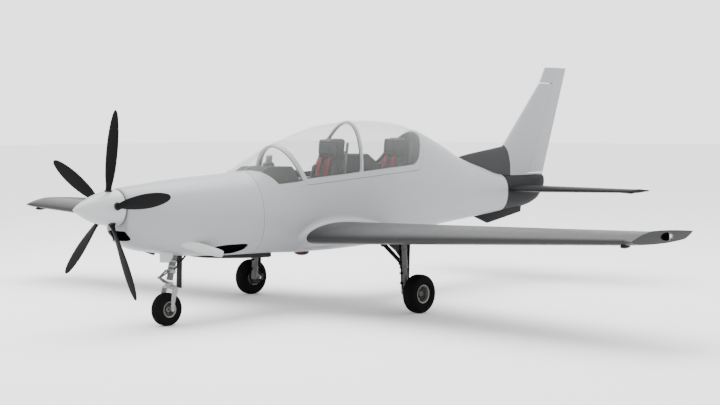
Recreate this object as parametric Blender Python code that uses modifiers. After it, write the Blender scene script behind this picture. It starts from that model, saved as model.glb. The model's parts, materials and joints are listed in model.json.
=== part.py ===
# Single-engine, tandem-seat turboprop trainer aircraft, parked on its landing gear.
# Metres, +Z up, nose towards -X, left wing towards -Y. Stations (x) are measured aft of the
# propeller disc, and one datum empty carries every piece, so that the origin is on the floor
# under the middle of the aircraft.
import math

import bmesh
import bpy
from mathutils import Matrix, Vector

MODEL = "turboprop_trainer"
PROP_STATION = -4.226
GAP = 0.0003
MOVING_GAP = 0.006

# Hull lines: station, top, bottom, half width, height of the widest point,
# and the fullness of the section above and below it (2 is an ellipse).
HULL_LINES = [
    (0.13, 1.600, 0.995, 0.215, 1.385, 2.0, 2.4),
    (0.35, 1.622, 0.905, 0.305, 1.335, 2.1, 2.5),
    (0.62, 1.646, 0.855, 0.370, 1.285, 2.2, 2.6),
    (1.00, 1.680, 0.795, 0.425, 1.240, 2.2, 2.6),
    (1.50, 1.708, 0.762, 0.458, 1.215, 2.2, 2.6),
    (1.88, 1.732, 0.748, 0.470, 1.200, 2.2, 2.6),
    (2.05, 1.830, 0.744, 0.474, 1.200, 2.1, 2.6),
    (2.33, 1.965, 0.736, 0.478, 1.200, 2.0, 2.6),
    (2.85, 2.158, 0.710, 0.480, 1.200, 2.0, 2.6),
    (3.39, 2.292, 0.702, 0.480, 1.200, 2.0, 2.6),
    (4.15, 2.352, 0.716, 0.476, 1.205, 2.0, 2.6),
    (4.74, 2.318, 0.780, 0.458, 1.215, 2.0, 2.5),
    (5.16, 2.228, 0.836, 0.432, 1.230, 2.0, 2.4),
    (5.60, 2.072, 0.896, 0.390, 1.250, 2.0, 2.3),
    (6.19, 1.820, 0.943, 0.312, 1.280, 2.0, 2.3),
    (6.70, 1.670, 0.980, 0.250, 1.300, 2.1, 2.2),
    (7.15, 1.560, 1.018, 0.195, 1.315, 2.2, 2.2),
    (7.76, 1.540, 1.072, 0.128, 1.330, 2.4, 2.1),
    (8.10, 1.532, 1.140, 0.088, 1.345, 2.4, 2.0),
    (8.27, 1.520, 1.200, 0.052, 1.360, 2.4, 2.0),
]
RING_POINTS = 32

COWL_FRONT, COWL_REAR, TAIL_JOINT, TAIL_END = 0.13, 1.94, 7.15, 8.27
HULL_WALL = 0.018
COWL_WALL = 0.012
CANOPY_WALL = 0.030
GLASS_WALL = 0.008
GLASS_INSET = 0.004

# Canopy lines in side view, as height over station or station over height.
SILL_STATION, SILL_HEIGHT, SILL_SLOPE = 2.228, 1.533, 0.059
GLASS_STATION, GLASS_HEIGHT, GLASS_SLOPE = 2.666, 1.627, 0.0618
ARCH_STATION, ARCH_HEIGHT, ARCH_LEAN = 2.670, 1.630, -0.325
BOW_STATION, BOW_HEIGHT, BOW_LEAN = 3.710, 1.690, 0.277
REAR_STATION, REAR_HEIGHT, REAR_LEAN = 4.870, 1.760, 0.75
WINDSHIELD_STATION, WINDSHIELD_CURVE = 1.885, 2.0
ARCH_FRAME, BOW_FRAME, REAR_FRAME = 0.024, 0.032, 0.055
CANOPY_GAP = 0.005

# Propeller and spinner.
SHAFT_HEIGHT = 1.3845
PROP_RADIUS = 1.125
BLADE_COUNT = 5
FIRST_BLADE_ANGLE = math.radians(-11.39)
SPINNER_TIP, SPINNER_BASE, SPINNER_RADIUS = -0.458, 0.105, 0.205
SHAFT_RADIUS = 0.045

# Wing panel from its root inside the hull to the tip joint.
WING_ROOT_Y, WING_JOINT_Y, WING_TIP_Y, WING_TIP_AFT_Y = 0.30, 5.00, 5.105, 5.30
WING_ROOT_LE, WING_ROOT_TE, WING_ROOT_Z = 2.590, 4.310, 0.908
WING_TIP_LE, WING_TIP_TE, WING_TIP_Z = 2.506, 3.560, 1.129
WING_THICKNESS = (0.150, 0.120)
WING_CAMBER = (0.028, 0.018)
WING_HINGE = 0.76
FLAP_SPAN = (0.62, 2.70)
AILERON_SPAN = (2.80, 4.86)

# Tail surfaces.
FIN_BASE, FIN_TOP, RUDDER_TOP = 1.556, 2.905, 3.15
FIN_LE, FIN_TE = (7.385, 8.300), (8.350, 8.915)
FIN_HINGE = 0.53
FIN_THICKNESS = 0.115
TAILPLANE_ROOT_Y, TAILPLANE_TIP_Y = 0.06, 1.93
TAILPLANE_Z = 1.335
TAILPLANE_LE, TAILPLANE_TE = (7.170, 7.700), (8.250, 8.220)
TAILPLANE_THICKNESS = 0.095
ELEVATOR_STATION = 7.88
ELEVATOR_ROOT_Y = 0.135
ELEVATOR_TUBE = 0.020

# Wheels: station, half track, radius, half width, rim radius.
NOSE_WHEEL = (0.8335, 0.0, 0.190, 0.062, 0.085)
MAIN_WHEEL = (3.567, 1.4814, 0.2359, 0.074, 0.105)
NOSE_AXLE_RADIUS = 0.013
MAIN_AXLE_RADIUS = 0.018
NOSE_LEG_TOP = (0.957, 0.0, 0.840)
NOSE_LEG_FOOT = (0.870, 0.0, 0.470)
MAIN_LEG_TOP = (3.600, 1.290, 0.960)
MAIN_LEG_FOOT = (3.572, 1.345, 0.236)

LIGHT_GREY = (0.52, 0.53, 0.55)
DARK_GREY = (0.055, 0.060, 0.066)
MID_GREY = (0.12, 0.125, 0.135)
BLACK = (0.012, 0.012, 0.013)
SILVER = (0.45, 0.45, 0.46)
OLIVE = (0.06, 0.065, 0.055)
CLEAR = (0.75, 0.78, 0.80)


def clear_scene():
    for old in list(bpy.data.objects):
        bpy.data.objects.remove(old)


def new_collection(name):
    collection = bpy.data.collections.new(name)
    bpy.context.scene.collection.children.link(collection)
    return collection


clear_scene()
parts = new_collection(MODEL)
cutters = new_collection("cutters")
datum = bpy.data.objects.new("datum", None)
datum.location = (PROP_STATION, 0.0, 0.0)
parts.objects.link(datum)


# Material and object helpers.
def material_for(name, colour, roughness=0.45, metallic=0.0, alpha=1.0):
    material = bpy.data.materials.new(name)
    material.use_nodes = True
    shader = material.node_tree.nodes["Principled BSDF"]
    shader.inputs["Base Color"].default_value = (*colour, 1.0)
    shader.inputs["Roughness"].default_value = roughness
    shader.inputs["Metallic"].default_value = metallic
    shader.inputs["Alpha"].default_value = alpha
    return material


def add_piece(name, mesh, colour, roughness=0.45, metallic=0.0, alpha=1.0):
    piece = bpy.data.objects.new(name, mesh)
    parts.objects.link(piece)
    piece.parent = datum
    mesh.materials.append(material_for(name, colour, roughness, metallic, alpha))
    return piece


def add_cutter(name, mesh):
    cutter = bpy.data.objects.new(name, mesh)
    cutters.objects.link(cutter)
    cutter.parent = datum
    cutter.hide_render = True
    cutter.display_type = "WIRE"
    return cutter


def combine(piece, other, operation):
    modifier = piece.modifiers.new(operation.lower(), "BOOLEAN")
    modifier.operation = operation
    modifier.object = other
    modifier.solver = "EXACT"


def cut(piece, *others):
    for other in others:
        combine(piece, other, "DIFFERENCE")


def keep_inside(piece, other):
    combine(piece, other, "INTERSECT")


def join(piece, *others):
    for other in others:
        combine(piece, other, "UNION")


def set_pivot(piece, point):
    piece.data.transform(Matrix.Translation(-Vector(point)))
    piece.location = point


def mesh_from(name, build):
    shape = bmesh.new()
    build(shape)
    bmesh.ops.recalc_face_normals(shape, faces=shape.faces)
    mesh = bpy.data.meshes.new(name)
    shape.to_mesh(mesh)
    shape.free()
    mesh.shade_smooth()
    mesh.set_sharp_from_angle(angle=math.radians(32))
    return mesh


# Rings of points joined by triangles that always lean the same way, so that two skins
# from the same lines match each other exactly.
def join_rings(shape, rings):
    rows = [[shape.verts.new(point) for point in ring] for ring in rings]
    count = len(rows[0])
    for row, following in zip(rows, rows[1:]):
        for i in range(count):
            j = (i + 1) % count
            shape.faces.new((row[i], row[j], following[j]))
            shape.faces.new((row[i], following[j], following[i]))
    return rows


# One closed skin over a list of rings, with a flat face over the first and the last.
def loft_mesh(name, rings):
    def build(shape):
        rows = join_rings(shape, rings)
        shape.faces.new(rows[0][::-1])
        shape.faces.new(rows[-1])
        bmesh.ops.remove_doubles(shape, verts=shape.verts, dist=1e-6)
    return mesh_from(name, build)


# A flat outline in side view (station, height), from one side of the aircraft to the other.
def prism_mesh(name, outline, y_from, y_to):
    return loft_mesh(name, [[(x, y, z) for x, z in outline] for y in (y_from, y_to)])


# A flat outline in plan view (station, side), from one height to another.
def plan_mesh(name, outline, z_from, z_to):
    return loft_mesh(name, [[(x, y, z) for x, y in outline] for z in (z_from, z_to)])


def box_mesh(name, low, high):
    low, high = Vector(low), Vector(high)

    def build(shape):
        bmesh.ops.create_cube(shape, size=1.0)
        bmesh.ops.scale(shape, vec=high - low, verts=shape.verts)
        bmesh.ops.translate(shape, vec=(high + low) / 2, verts=shape.verts)
    return mesh_from(name, build)


def rod_mesh(name, start, end, radius, end_radius=None, segments=20):
    start, end = Vector(start), Vector(end)
    run = end - start

    def build(shape):
        turn = run.to_track_quat("Z", "Y").to_matrix().to_4x4()
        place = Matrix.Translation((start + end) / 2) @ turn
        bmesh.ops.create_cone(
            shape, cap_ends=True, segments=segments, radius1=radius,
            radius2=radius if end_radius is None else end_radius, depth=run.length, matrix=place,
        )
    return mesh_from(name, build)


# A profile of (radius, distance along the axis) turned about the axis by a Screw modifier.
# An open profile starts and ends on the axis; a closed one goes round a ring.
def turned(name, profile, centre, axis, colour, closed=False, steps=36, **finish):
    area = sum(a[0] * b[1] - b[0] * a[1] for a, b in zip(profile, profile[1:] + profile[:1]))
    points = profile if area < 0 else profile[::-1]
    shape = bmesh.new()
    verts = [shape.verts.new((r, 0.0, z)) for r, z in points]
    for a, b in zip(verts, verts[1:]):
        shape.edges.new((a, b))
    if closed:
        shape.edges.new((verts[-1], verts[0]))
    mesh = bpy.data.meshes.new(name)
    shape.to_mesh(mesh)
    shape.free()
    piece = add_piece(name, mesh, colour, **finish)
    screw = piece.modifiers.new("turn", "SCREW")
    screw.steps = steps
    screw.render_steps = steps
    screw.use_merge_vertices = True
    screw.merge_threshold = 1e-5
    piece.location = centre
    piece.rotation_mode = "QUATERNION"
    piece.rotation_quaternion = Vector(axis).to_track_quat("Z", "Y")
    return piece


def smooth_value(table, station, column):
    xs = [row[0] for row in table]
    ys = [row[column] for row in table]
    last = len(xs) - 1
    station = min(max(station, xs[0]), xs[last])
    i = min(max(k for k in range(last + 1) if xs[k] <= station), last - 1)
    slopes = [(b - a) / (q - p) for a, b, p, q in zip(ys, ys[1:], xs, xs[1:])]

    def tangent(k):
        if k == 0 or k == last:
            return slopes[min(k, last - 1)]
        before, after = slopes[k - 1], slopes[k]
        return 0.0 if before * after <= 0 else 2 * before * after / (before + after)

    run = xs[i + 1] - xs[i]
    t = (station - xs[i]) / run
    return (
        ys[i] * (2 * t**3 - 3 * t**2 + 1) + ys[i + 1] * (3 * t**2 - 2 * t**3)
        + run * (tangent(i) * (t**3 - 2 * t**2 + t) + tangent(i + 1) * (t**3 - t**2))
    )


def hull_values(station):
    return [smooth_value(HULL_LINES, station, column) for column in range(1, 7)]


def hull_ring(station, inset=0.0, at_x=None):
    top, bottom, half_width, waist, upper, lower = hull_values(station)
    x = station if at_x is None else at_x
    ring = []
    for k in range(RING_POINTS):
        angle = 2 * math.pi * k / RING_POINTS
        c, s = math.cos(angle), math.sin(angle)
        power = upper if s >= 0 else lower
        height = (top - waist if s >= 0 else waist - bottom) - inset
        y = (half_width - inset) * math.copysign(abs(c) ** (2 / power), c)
        z = waist + height * math.copysign(abs(s) ** (2 / power), s)
        ring.append((x, y, z))
    return ring


def hull_side(station, height):
    top, bottom, half_width, waist, upper, lower = hull_values(station)
    reach, power = (top - waist, upper) if height > waist else (waist - bottom, lower)
    return half_width * (1 - min(1.0, abs(height - waist) / reach) ** power) ** (1 / power)


def between(start, end, middle):
    return [start, *(x for x in middle if start + 0.002 < x < end - 0.002), end]


HULL_STATIONS = [
    0.13, 0.20, 0.30, 0.44, 0.62, 0.82, 1.05, 1.30, 1.60, 1.88, 1.94, 2.05, 2.18, 2.33, 2.55, 2.80,
    3.10, 3.45, 3.80, 4.15, 4.45, 4.74, 4.96, 5.16, 5.38, 5.60, 5.88, 6.19, 6.50, 6.85, 7.15,
    7.45, 7.76, 7.95, 8.10, 8.20, 8.27,
]


# Solid hull between two stations, grown or shrunk all round.
def hull_solid(name, start, end, inset=0.0):
    stations = between(start, end, HULL_STATIONS)
    return loft_mesh(name, [hull_ring(x, inset) for x in stations])


# Hollow hull. Where a wall is given the end is closed by it, and otherwise the end is open.
def hull_shell(name, start, end, wall, front_wall=0.0, rear_wall=0.0, inset=0.0):
    stations = between(start, end, HULL_STATIONS)
    outer = [hull_ring(x, inset) for x in stations]
    inner_ends = (start + front_wall, end - rear_wall)
    inner = [hull_ring(x, inset + wall) for x in between(*inner_ends, HULL_STATIONS)]

    def build(shape):
        skins = [join_rings(shape, rings) for rings in (outer, inner)]
        for end_index, closed in ((0, front_wall > 0), (-1, rear_wall > 0)):
            outside, inside = skins[0][end_index], skins[1][end_index]
            if closed:
                shape.faces.new(outside)
                shape.faces.new(inside)
                continue
            for i in range(RING_POINTS):
                j = (i + 1) % RING_POINTS
                shape.faces.new((outside[i], outside[j], inside[j], inside[i]))
    mesh = mesh_from(name, build)
    if front_wall > 0 and rear_wall > 0:
        mark_cavity(mesh)
    return mesh


# A closed hollow has two skins that don't touch, so the inner one is turned to face its room.
def mark_cavity(mesh):
    shape = bmesh.new()
    shape.from_mesh(mesh)
    shape.verts.ensure_lookup_table()
    reached = {shape.verts[0]}
    waiting = [shape.verts[0]]
    while waiting:
        for edge in waiting.pop().link_edges:
            for vert in edge.verts:
                if vert not in reached:
                    reached.add(vert)
                    waiting.append(vert)
    inner = [face for face in shape.faces if face.verts[0] not in reached]
    bmesh.ops.reverse_faces(shape, faces=inner)
    shape.to_mesh(mesh)
    shape.free()


def sill_height(x, offset=0.0):
    return SILL_HEIGHT + SILL_SLOPE * (x - SILL_STATION) + offset


def glass_height(x, offset=0.0):
    return GLASS_HEIGHT + GLASS_SLOPE * (x - GLASS_STATION) + offset


def arch_station(z, offset=0.0):
    return ARCH_STATION + ARCH_LEAN * (z - ARCH_HEIGHT) + offset


def bow_station(z, offset=0.0):
    return BOW_STATION + BOW_LEAN * (z - BOW_HEIGHT) + offset


def rear_station(z, offset=0.0):
    return REAR_STATION + REAR_LEAN * (z - REAR_HEIGHT) + offset


# The side outline between two leaning lines, above a sloping one.
def side_outline(front, rear, floor, top=2.6):
    corners = []
    for line in (front, rear):
        z = 1.6
        for _ in range(8):
            z = floor(line(z))
        corners.append((line(z), z))
    return [corners[0], corners[1], (rear(top), top), (front(top), top)]


def windshield_plan(offset, rear):
    reach = 0.60
    count = 12
    curve = []
    for k in range(count + 1):
        y = -reach + 2 * reach * k / count
        curve.append((WINDSHIELD_STATION + offset + WINDSHIELD_CURVE * y * y, y))
    return curve + [(rear, reach), (rear, -reach)]


# The region of the glasshouse: everything over the sill, aft of the windshield's foot.
def make_hull_cutters():
    tools = {}
    opening = side_outline(
        lambda z: 1.70, lambda z: rear_station(z, REAR_FRAME + CANOPY_GAP),
        lambda x: sill_height(x, -CANOPY_GAP))
    tools["opening_side"] = add_cutter("opening_side", prism_mesh("opening_side", opening, -0.8, 0.8))
    plan = plan_mesh("opening_plan", windshield_plan(-GAP, 6.0), 1.2, 2.8)
    tools["opening_plan"] = add_cutter("opening_plan", plan)
    opening_tool = add_cutter("cockpit_opening", prism_mesh("cockpit_opening", opening, -0.8, 0.8))
    keep_inside(opening_tool, tools["opening_plan"])
    tools["opening"] = opening_tool
    return tools


tools = make_hull_cutters()


# The joints' axes in world coordinates, for whoever needs them beside the model.
def report_axis(name, point, along):
    place = [round(v, 5) for v in Vector(point) + datum.location]
    print("axis of", name, place, [round(v, 5) for v in Vector(along).normalized()])


def make_cowling():
    mesh = hull_shell("cowling", COWL_FRONT, COWL_REAR, COWL_WALL, front_wall=0.012)
    cowling = add_piece("cowling", mesh, LIGHT_GREY, 0.38)
    shaft_hole = add_cutter("shaft_hole", rod_mesh(
        "shaft_hole", (0.05, 0, SHAFT_HEIGHT), (0.30, 0, SHAFT_HEIGHT), SHAFT_RADIUS + MOVING_GAP))
    inlet = add_cutter("inlet", prism_mesh(
        "inlet", [(0.0, 1.02), (0.40, 1.02), (0.40, 1.13), (0.0, 1.13)], -0.15, 0.15))
    cut(cowling, tools["opening"], shaft_hole, inlet)
    for side in (-1, 1):
        y = sorted((side * 0.30, side * 0.60))
        outline = [(1.16, 0.845), (1.24, 0.80), (1.58, 0.80), (1.65, 0.855), (1.62, 0.905), (1.22, 0.895)]
        cut(cowling, add_cutter(f"outlet_{side}", prism_mesh(f"outlet_{side}", outline, *y)))
    return cowling


def make_engine():
    block = box_mesh("engine_block", (0.42, -0.23, 1.02), (COWL_REAR - GAP, 0.23, 1.47))
    return add_piece("engine_block", block, SILVER, 0.5, 0.6)


def make_fuselage():
    mesh = hull_shell("fuselage", COWL_REAR + GAP, TAIL_JOINT, HULL_WALL,
                      front_wall=0.012, rear_wall=0.012)
    fuselage = add_piece("fuselage", mesh, LIGHT_GREY, 0.38)
    cut(fuselage, tools["opening"])
    return fuselage


def make_tail_cone():
    mesh = hull_solid("tail_cone", TAIL_JOINT + GAP, TAIL_END)
    cone = add_piece("tail_cone", mesh, DARK_GREY, 0.5)
    tube = add_cutter("torque_tube_hole", rod_mesh(
        "torque_tube_hole", (ELEVATOR_STATION, -0.4, TAILPLANE_Z),
        (ELEVATOR_STATION, 0.4, TAILPLANE_Z), ELEVATOR_TUBE + 0.0007, segments=32))
    cut(cone, tube)
    return cone


cowling = make_cowling()
engine = make_engine()
fuselage = make_fuselage()
tail_cone = make_tail_cone()
hull_grown = add_cutter("hull_grown", hull_solid("hull_grown", COWL_FRONT, TAIL_END + 0.1, -GAP))
hull_room = add_cutter("hull_room", hull_solid(
    "hull_room", COWL_REAR + 0.012 + 2 * GAP, TAIL_JOINT - 0.02, HULL_WALL + GAP))


# Windshield and canopy: one shell of the hull's own surface, parted by leaning planes.
def canopy_shell(name, inset, wall):
    return hull_shell(name, 1.80, 5.60, wall, inset=inset)


def window_tool(name, front, rear, offset):
    outline = side_outline(front, rear, lambda x: glass_height(x, offset))
    return add_cutter(name, prism_mesh(name, outline, -0.8, 0.8))


def make_windshield():
    def parting(z):
        return arch_station(z, -CANOPY_GAP / 2)

    frame = add_piece("windshield_frame", canopy_shell("windshield_frame", 0.0, CANOPY_WALL),
                      LIGHT_GREY, 0.38)
    body = side_outline(lambda z: 1.70, parting, lambda x: sill_height(x, -CANOPY_GAP + GAP))
    keep_inside(frame, add_cutter("windshield_side", prism_mesh("windshield_side", body, -0.8, 0.8)))
    keep_inside(frame, add_cutter("windshield_plan", plan_mesh(
        "windshield_plan", windshield_plan(0.0, 4.0), 1.2, 2.8)))
    window = window_tool("windshield_window", lambda z: 1.70,
                         lambda z: parting(z) - ARCH_FRAME, -0.02)
    keep_inside(window, add_cutter("window_plan", plan_mesh(
        "window_plan", windshield_plan(0.030, 4.0), 1.2, 2.8)))
    cut(frame, window)
    glass = add_piece("windshield_glass", canopy_shell("windshield_glass", GLASS_INSET, GLASS_WALL),
                      CLEAR, 0.05, alpha=0.25)
    pane = window_tool("windshield_pane", lambda z: 1.70,
                       lambda z: parting(z) - ARCH_FRAME - GAP, -0.02 + GAP)
    keep_inside(glass, pane)
    keep_inside(glass, add_cutter("pane_plan", plan_mesh(
        "pane_plan", windshield_plan(0.030 + GAP, 4.0), 1.2, 2.8)))
    return frame, glass


def make_canopy():
    def parting(z):
        return arch_station(z, CANOPY_GAP / 2)

    frame = add_piece("canopy_frame", canopy_shell("canopy_frame", 0.0, CANOPY_WALL),
                      LIGHT_GREY, 0.38)
    body = side_outline(parting, lambda z: rear_station(z, REAR_FRAME), sill_height)
    keep_inside(frame, add_cutter("canopy_side", prism_mesh("canopy_side", body, -0.8, 0.8)))
    windows = {
        "front": (lambda z: parting(z) + BOW_FRAME + 0.012, lambda z: bow_station(z, -BOW_FRAME / 2)),
        "rear": (lambda z: bow_station(z, BOW_FRAME / 2), rear_station),
    }
    for end, (front, rear) in windows.items():
        cut(frame, window_tool(f"window_{end}", front, rear, 0.0))
        name = f"canopy_glass_{end}"
        glass = add_piece(name, canopy_shell(name, GLASS_INSET, GLASS_WALL), CLEAR, 0.05, alpha=0.25)
        keep_inside(glass, window_tool(
            f"pane_{end}", lambda z, f=front: f(z) + GAP, lambda z, r=rear: r(z) - GAP, GAP))
    return frame


windshield_frame, windshield_glass = make_windshield()
canopy_frame = make_canopy()


# The canopy's two hinges stand outside its right-hand rail, so that every point of it swings up and clear.
# Each is a bracket on the fuselage with two lugs and a pin, and a knuckle on the rail between the lugs.
HINGE_STATIONS = {"front": 3.05, "rear": 4.40}
HINGE_OUT, HINGE_RISE = 0.016, 0.012
PIN_RADIUS, KNUCKLE_RADIUS, KNUCKLE_HALF = 0.005, 0.010, 0.011
LUG_NEAR, LUG_FAR, LUG_HALF, BRACKET_DROP, FOOT_TOP = 0.014, 0.022, 0.010, 0.060, 0.024


def hinge_point(x):
    z = sill_height(x) + HINGE_RISE
    return Vector((x, hull_side(x, z) + HINGE_OUT, z))


def box_about(name, point, low, high):
    return box_mesh(name, point + Vector(low), point + Vector(high))


def make_canopy_hinge(end, point, along):
    name = f"canopy_hinge_pin_{end}"
    bracket = add_piece(name, box_about(
        name, point, (-LUG_FAR, -0.04, -BRACKET_DROP), (LUG_FAR, LUG_HALF, -FOOT_TOP)), SILVER, 0.3, 1.0)
    for side in (-1, 1):
        x = sorted((side * LUG_NEAR, side * LUG_FAR))
        lug = box_about("lug", point, (x[0], -LUG_HALF, -BRACKET_DROP + 0.005), (x[1], LUG_HALF, LUG_HALF))
        join(bracket, add_cutter(f"hinge_lug_{end}_{side}", lug))
    reach = along * (LUG_FAR + 0.002)
    join(bracket, add_cutter(f"hinge_pin_{end}", rod_mesh("pin", point - reach, point + reach, PIN_RADIUS)))
    cut(bracket, hull_grown)
    half = along * KNUCKLE_HALF
    knuckle = rod_mesh("knuckle", point - half, point + half, KNUCKLE_RADIUS)
    web = box_about("web", point, (-KNUCKLE_HALF, -0.030, -0.008), (KNUCKLE_HALF, -0.001, 0.008))
    join(canopy_frame, add_cutter(f"hinge_web_{end}", web), add_cutter(f"hinge_knuckle_{end}", knuckle))
    cut(canopy_frame, add_cutter(f"hinge_bore_{end}", rod_mesh(
        "bore", point - 2 * half, point + 2 * half, PIN_RADIUS + GAP)))


hinge_start, hinge_end = [hinge_point(x) for x in HINGE_STATIONS.values()]
hinge_along = (hinge_end - hinge_start).normalized()
make_canopy_hinge("front", hinge_start, hinge_along)
make_canopy_hinge("rear", hinge_end, hinge_along)
report_axis("canopy", hinge_start, hinge_along)


# Cockpit.
HOOD_TOP = 1.788


def make_cockpit():
    floor = add_piece("cockpit_floor", box_mesh("cockpit_floor", (1.96, -0.6, 0.985), (4.95, 0.6, 1.0)),
                      MID_GREY, 0.7)
    keep_inside(floor, hull_room)
    lean = [(4.96, 1.0005), (4.98, 1.0005), (4.98, 1.70), (5.50, 2.50), (5.48, 2.50), (4.96, 1.70)]
    bulkhead = add_piece("rear_bulkhead", prism_mesh("rear_bulkhead", lean, -0.6, 0.6), MID_GREY, 0.7)
    keep_inside(bulkhead, hull_room)
    hood = [(2.02, 1.50), (2.60, 1.42), (2.61, 1.64), (2.57, HOOD_TOP), (2.24, HOOD_TOP), (2.02, 1.68)]
    coaming = add_piece("front_coaming", prism_mesh("front_coaming", hood, -0.5, 0.5), OLIVE, 0.8)
    keep_inside(coaming, add_cutter("coaming_room", hull_solid(
        "coaming_room", 1.97, 5.6, CANOPY_WALL + 0.006)))
    pedestal = [(2.45, 1.0003), (2.55, 1.0003), (2.58, 1.43), (2.40, 1.44)]
    join(coaming, add_cutter("front_pedestal", prism_mesh("front_pedestal", pedestal, -0.09, 0.09)))
    rear_hood = [(3.98, 1.0003), (4.08, 1.0003), (4.10, 1.40), (4.27, 1.45), (4.27, 1.76),
                 (4.02, 1.92), (3.98, 1.90)]
    rear_coaming = add_piece("rear_coaming", prism_mesh("rear_coaming", rear_hood, -0.24, 0.24),
                             OLIVE, 0.8)
    foot = HOOD_TOP + GAP
    display = [(2.42, foot), (2.52, foot), (2.52, 1.90), (2.49, 1.925), (2.45, 1.925), (2.42, 1.90)]
    add_piece("head_up_display", prism_mesh("head_up_display", display, -0.055, 0.055), MID_GREY, 0.5)
    for side, word in ((-1, "left"), (1, "right")):
        y = sorted((side * 0.29, side * 0.60))
        console = box_mesh(f"side_console_{word}", (2.70, y[0], 1.0003), (4.90, y[1], 1.36))
        keep_inside(add_piece(f"side_console_{word}", console, MID_GREY, 0.7), hull_room)
    return coaming, rear_coaming


def make_seat(name, hip_x):
    profile = [
        (-0.38, 0.0003), (0.06, 0.0003), (0.10, 0.25), (0.30, 0.90), (0.34, 1.10), (0.26, 1.12),
        (0.16, 1.08), (0.14, 0.88), (0.17, 0.84), (-0.02, 0.30), (-0.36, 0.36), (-0.40, 0.30),
    ]
    outline = [(hip_x + x, 1.0 + z) for x, z in profile]
    return add_piece(name, prism_mesh(name, outline, -0.21, 0.21), OLIVE, 0.8)


coaming, rear_coaming = make_cockpit()
front_seat = make_seat("front_seat", 3.37)
rear_seat = make_seat("rear_seat", 4.64)


# Wing sections: a four-digit thickness form on a parabolic camber line.
CHORD_STEPS = [0.0, 0.012, 0.05, 0.12, 0.22, 0.35, 0.50, 0.65]


def half_thickness(c):
    return 5 * (0.2969 * math.sqrt(c) - 0.1260 * c - 0.3516 * c**2 + 0.2843 * c**3 - 0.1036 * c**4)


def camber_line(c, camber):
    peak = 0.4
    if c < peak:
        return camber * (2 * peak * c - c * c) / peak**2
    return camber * (1 - 2 * peak + 2 * peak * c - c * c) / (1 - peak) ** 2


# Outline of a section from one chord fraction to the trailing edge, with a blunt edge.
# Each point is (chord fraction, height over chord).
def section(thickness, camber=0.0, start=0.0, steps=CHORD_STEPS, edge=0.0022):
    inner = [c for c in steps if c > start + 0.01]
    fractions = [start, *inner, 0.80, 0.90, 1.0]
    fractions = sorted(set(c for c in fractions if c >= start))
    upper, lower = [], []
    for c in fractions:
        middle = camber_line(c, camber)
        half = max(thickness * half_thickness(c), edge if c > 0.5 else 0.0)
        upper.append((c, middle + half))
        lower.append((c, middle - half))
    if start == 0.0:
        lower = lower[1:]
    return upper[::-1], lower


# A tapered lifting surface. Its span runs along Y, or along Z for the fin.
class Panel:
    def __init__(self, span, lead, trail, rise, thickness, camber=(0.0, 0.0), upright=False):
        self.span, self.lead, self.trail, self.rise = span, lead, trail, rise
        self.thickness, self.camber, self.upright = thickness, camber, upright

    def mix(self, pair, s):
        t = (s - self.span[0]) / (self.span[1] - self.span[0])
        return pair[0] + (pair[1] - pair[0]) * t

    def chord(self, s):
        return self.mix(self.trail, s) - self.mix(self.lead, s)

    def place(self, s, x, height):
        if self.upright:
            return (x, height, s)
        return (x, s, self.mix(self.rise, s) + height)

    def ring(self, s, side=1, shift=0.0, start=0.0):
        upper, lower = section(self.mix(self.thickness, s), self.mix(self.camber, s), start)
        lead, chord = self.mix(self.lead, s), self.chord(s)
        points = []
        for c, h in upper + lower:
            x, y, z = self.place(s, lead + chord * c, chord * h)
            points.append((x, y * side, z + shift))
        return points

    # Middle of the section at the hinge, and the half thickness there.
    def hinge(self, s, fraction):
        c = fraction
        middle = camber_line(c, self.mix(self.camber, s)) * self.chord(s)
        half = self.mix(self.thickness, s) * half_thickness(c) * self.chord(s)
        return self.mix(self.lead, s) + c * self.chord(s), middle, half


NOSE_STEPS = 8
LOW_FRONT = 0.10


# Section of a control surface: a round nose on the hinge line, then the section's own tail.
# With "grow" it becomes the tool that clears its room in the fixed surface.
def tail_ring(panel, s, fraction, side, grow=0.0, low_front=False):
    x, middle, half = panel.hinge(s, fraction)
    chord = panel.chord(s)
    lead = panel.mix(panel.lead, s)
    radius = half + grow
    points = []
    for k in range(NOSE_STEPS + 1):
        angle = math.pi / 2 + math.pi * k / NOSE_STEPS
        px, ph = x + radius * math.cos(angle), middle + radius * math.sin(angle)
        if low_front and angle > math.pi:
            px = x - radius
            ph = middle - (radius + LOW_FRONT) * (angle - math.pi) / (math.pi / 2)
        points.append((px, ph))
    if grow > 0:
        far = x + chord
        points += [(far, points[-1][1]), (far, points[0][1])]
    else:
        upper, lower = section(panel.mix(panel.thickness, s), panel.mix(panel.camber, s), fraction)
        points += [(lead + chord * c, chord * h) for c, h in lower[1:] + upper[:-1]]
    placed = [panel.place(s, px, ph) for px, ph in points]
    return [(px, py if panel.upright else side * py, pz) for px, py, pz in placed]


# Every point of a ring drawn in to the pin's circle round the hinge, in its own direction.
def pin_ring(panel, ring, s, at, fraction, side):
    here, there = hinge_line(panel, s, fraction, side), hinge_line(panel, at, fraction, side)
    points = []
    for point in ring:
        out = Vector(point) - here
        points.append(there + out.normalized() * HINGE_PIN)
    return points


HINGE_PIN, HINGE_PIN_LENGTH, HINGE_PIN_SLACK = 0.008, 0.030, 0.0010


# A control surface between two span stations, with a hinge pin on each end.
def surface_mesh(name, panel, span, fraction, side):
    rings = []
    for s, direction in ((span[0], -1), (span[1], 1)):
        ring = tail_ring(panel, s, fraction, side)
        outer = s + direction * HINGE_PIN_LENGTH
        foot = pin_ring(panel, ring, s, s, fraction, side)
        tip = pin_ring(panel, ring, s, outer, fraction, side)
        rings += [tip, foot, ring] if direction < 0 else [ring, foot, tip]
    return loft_mesh(name, rings)


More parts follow.
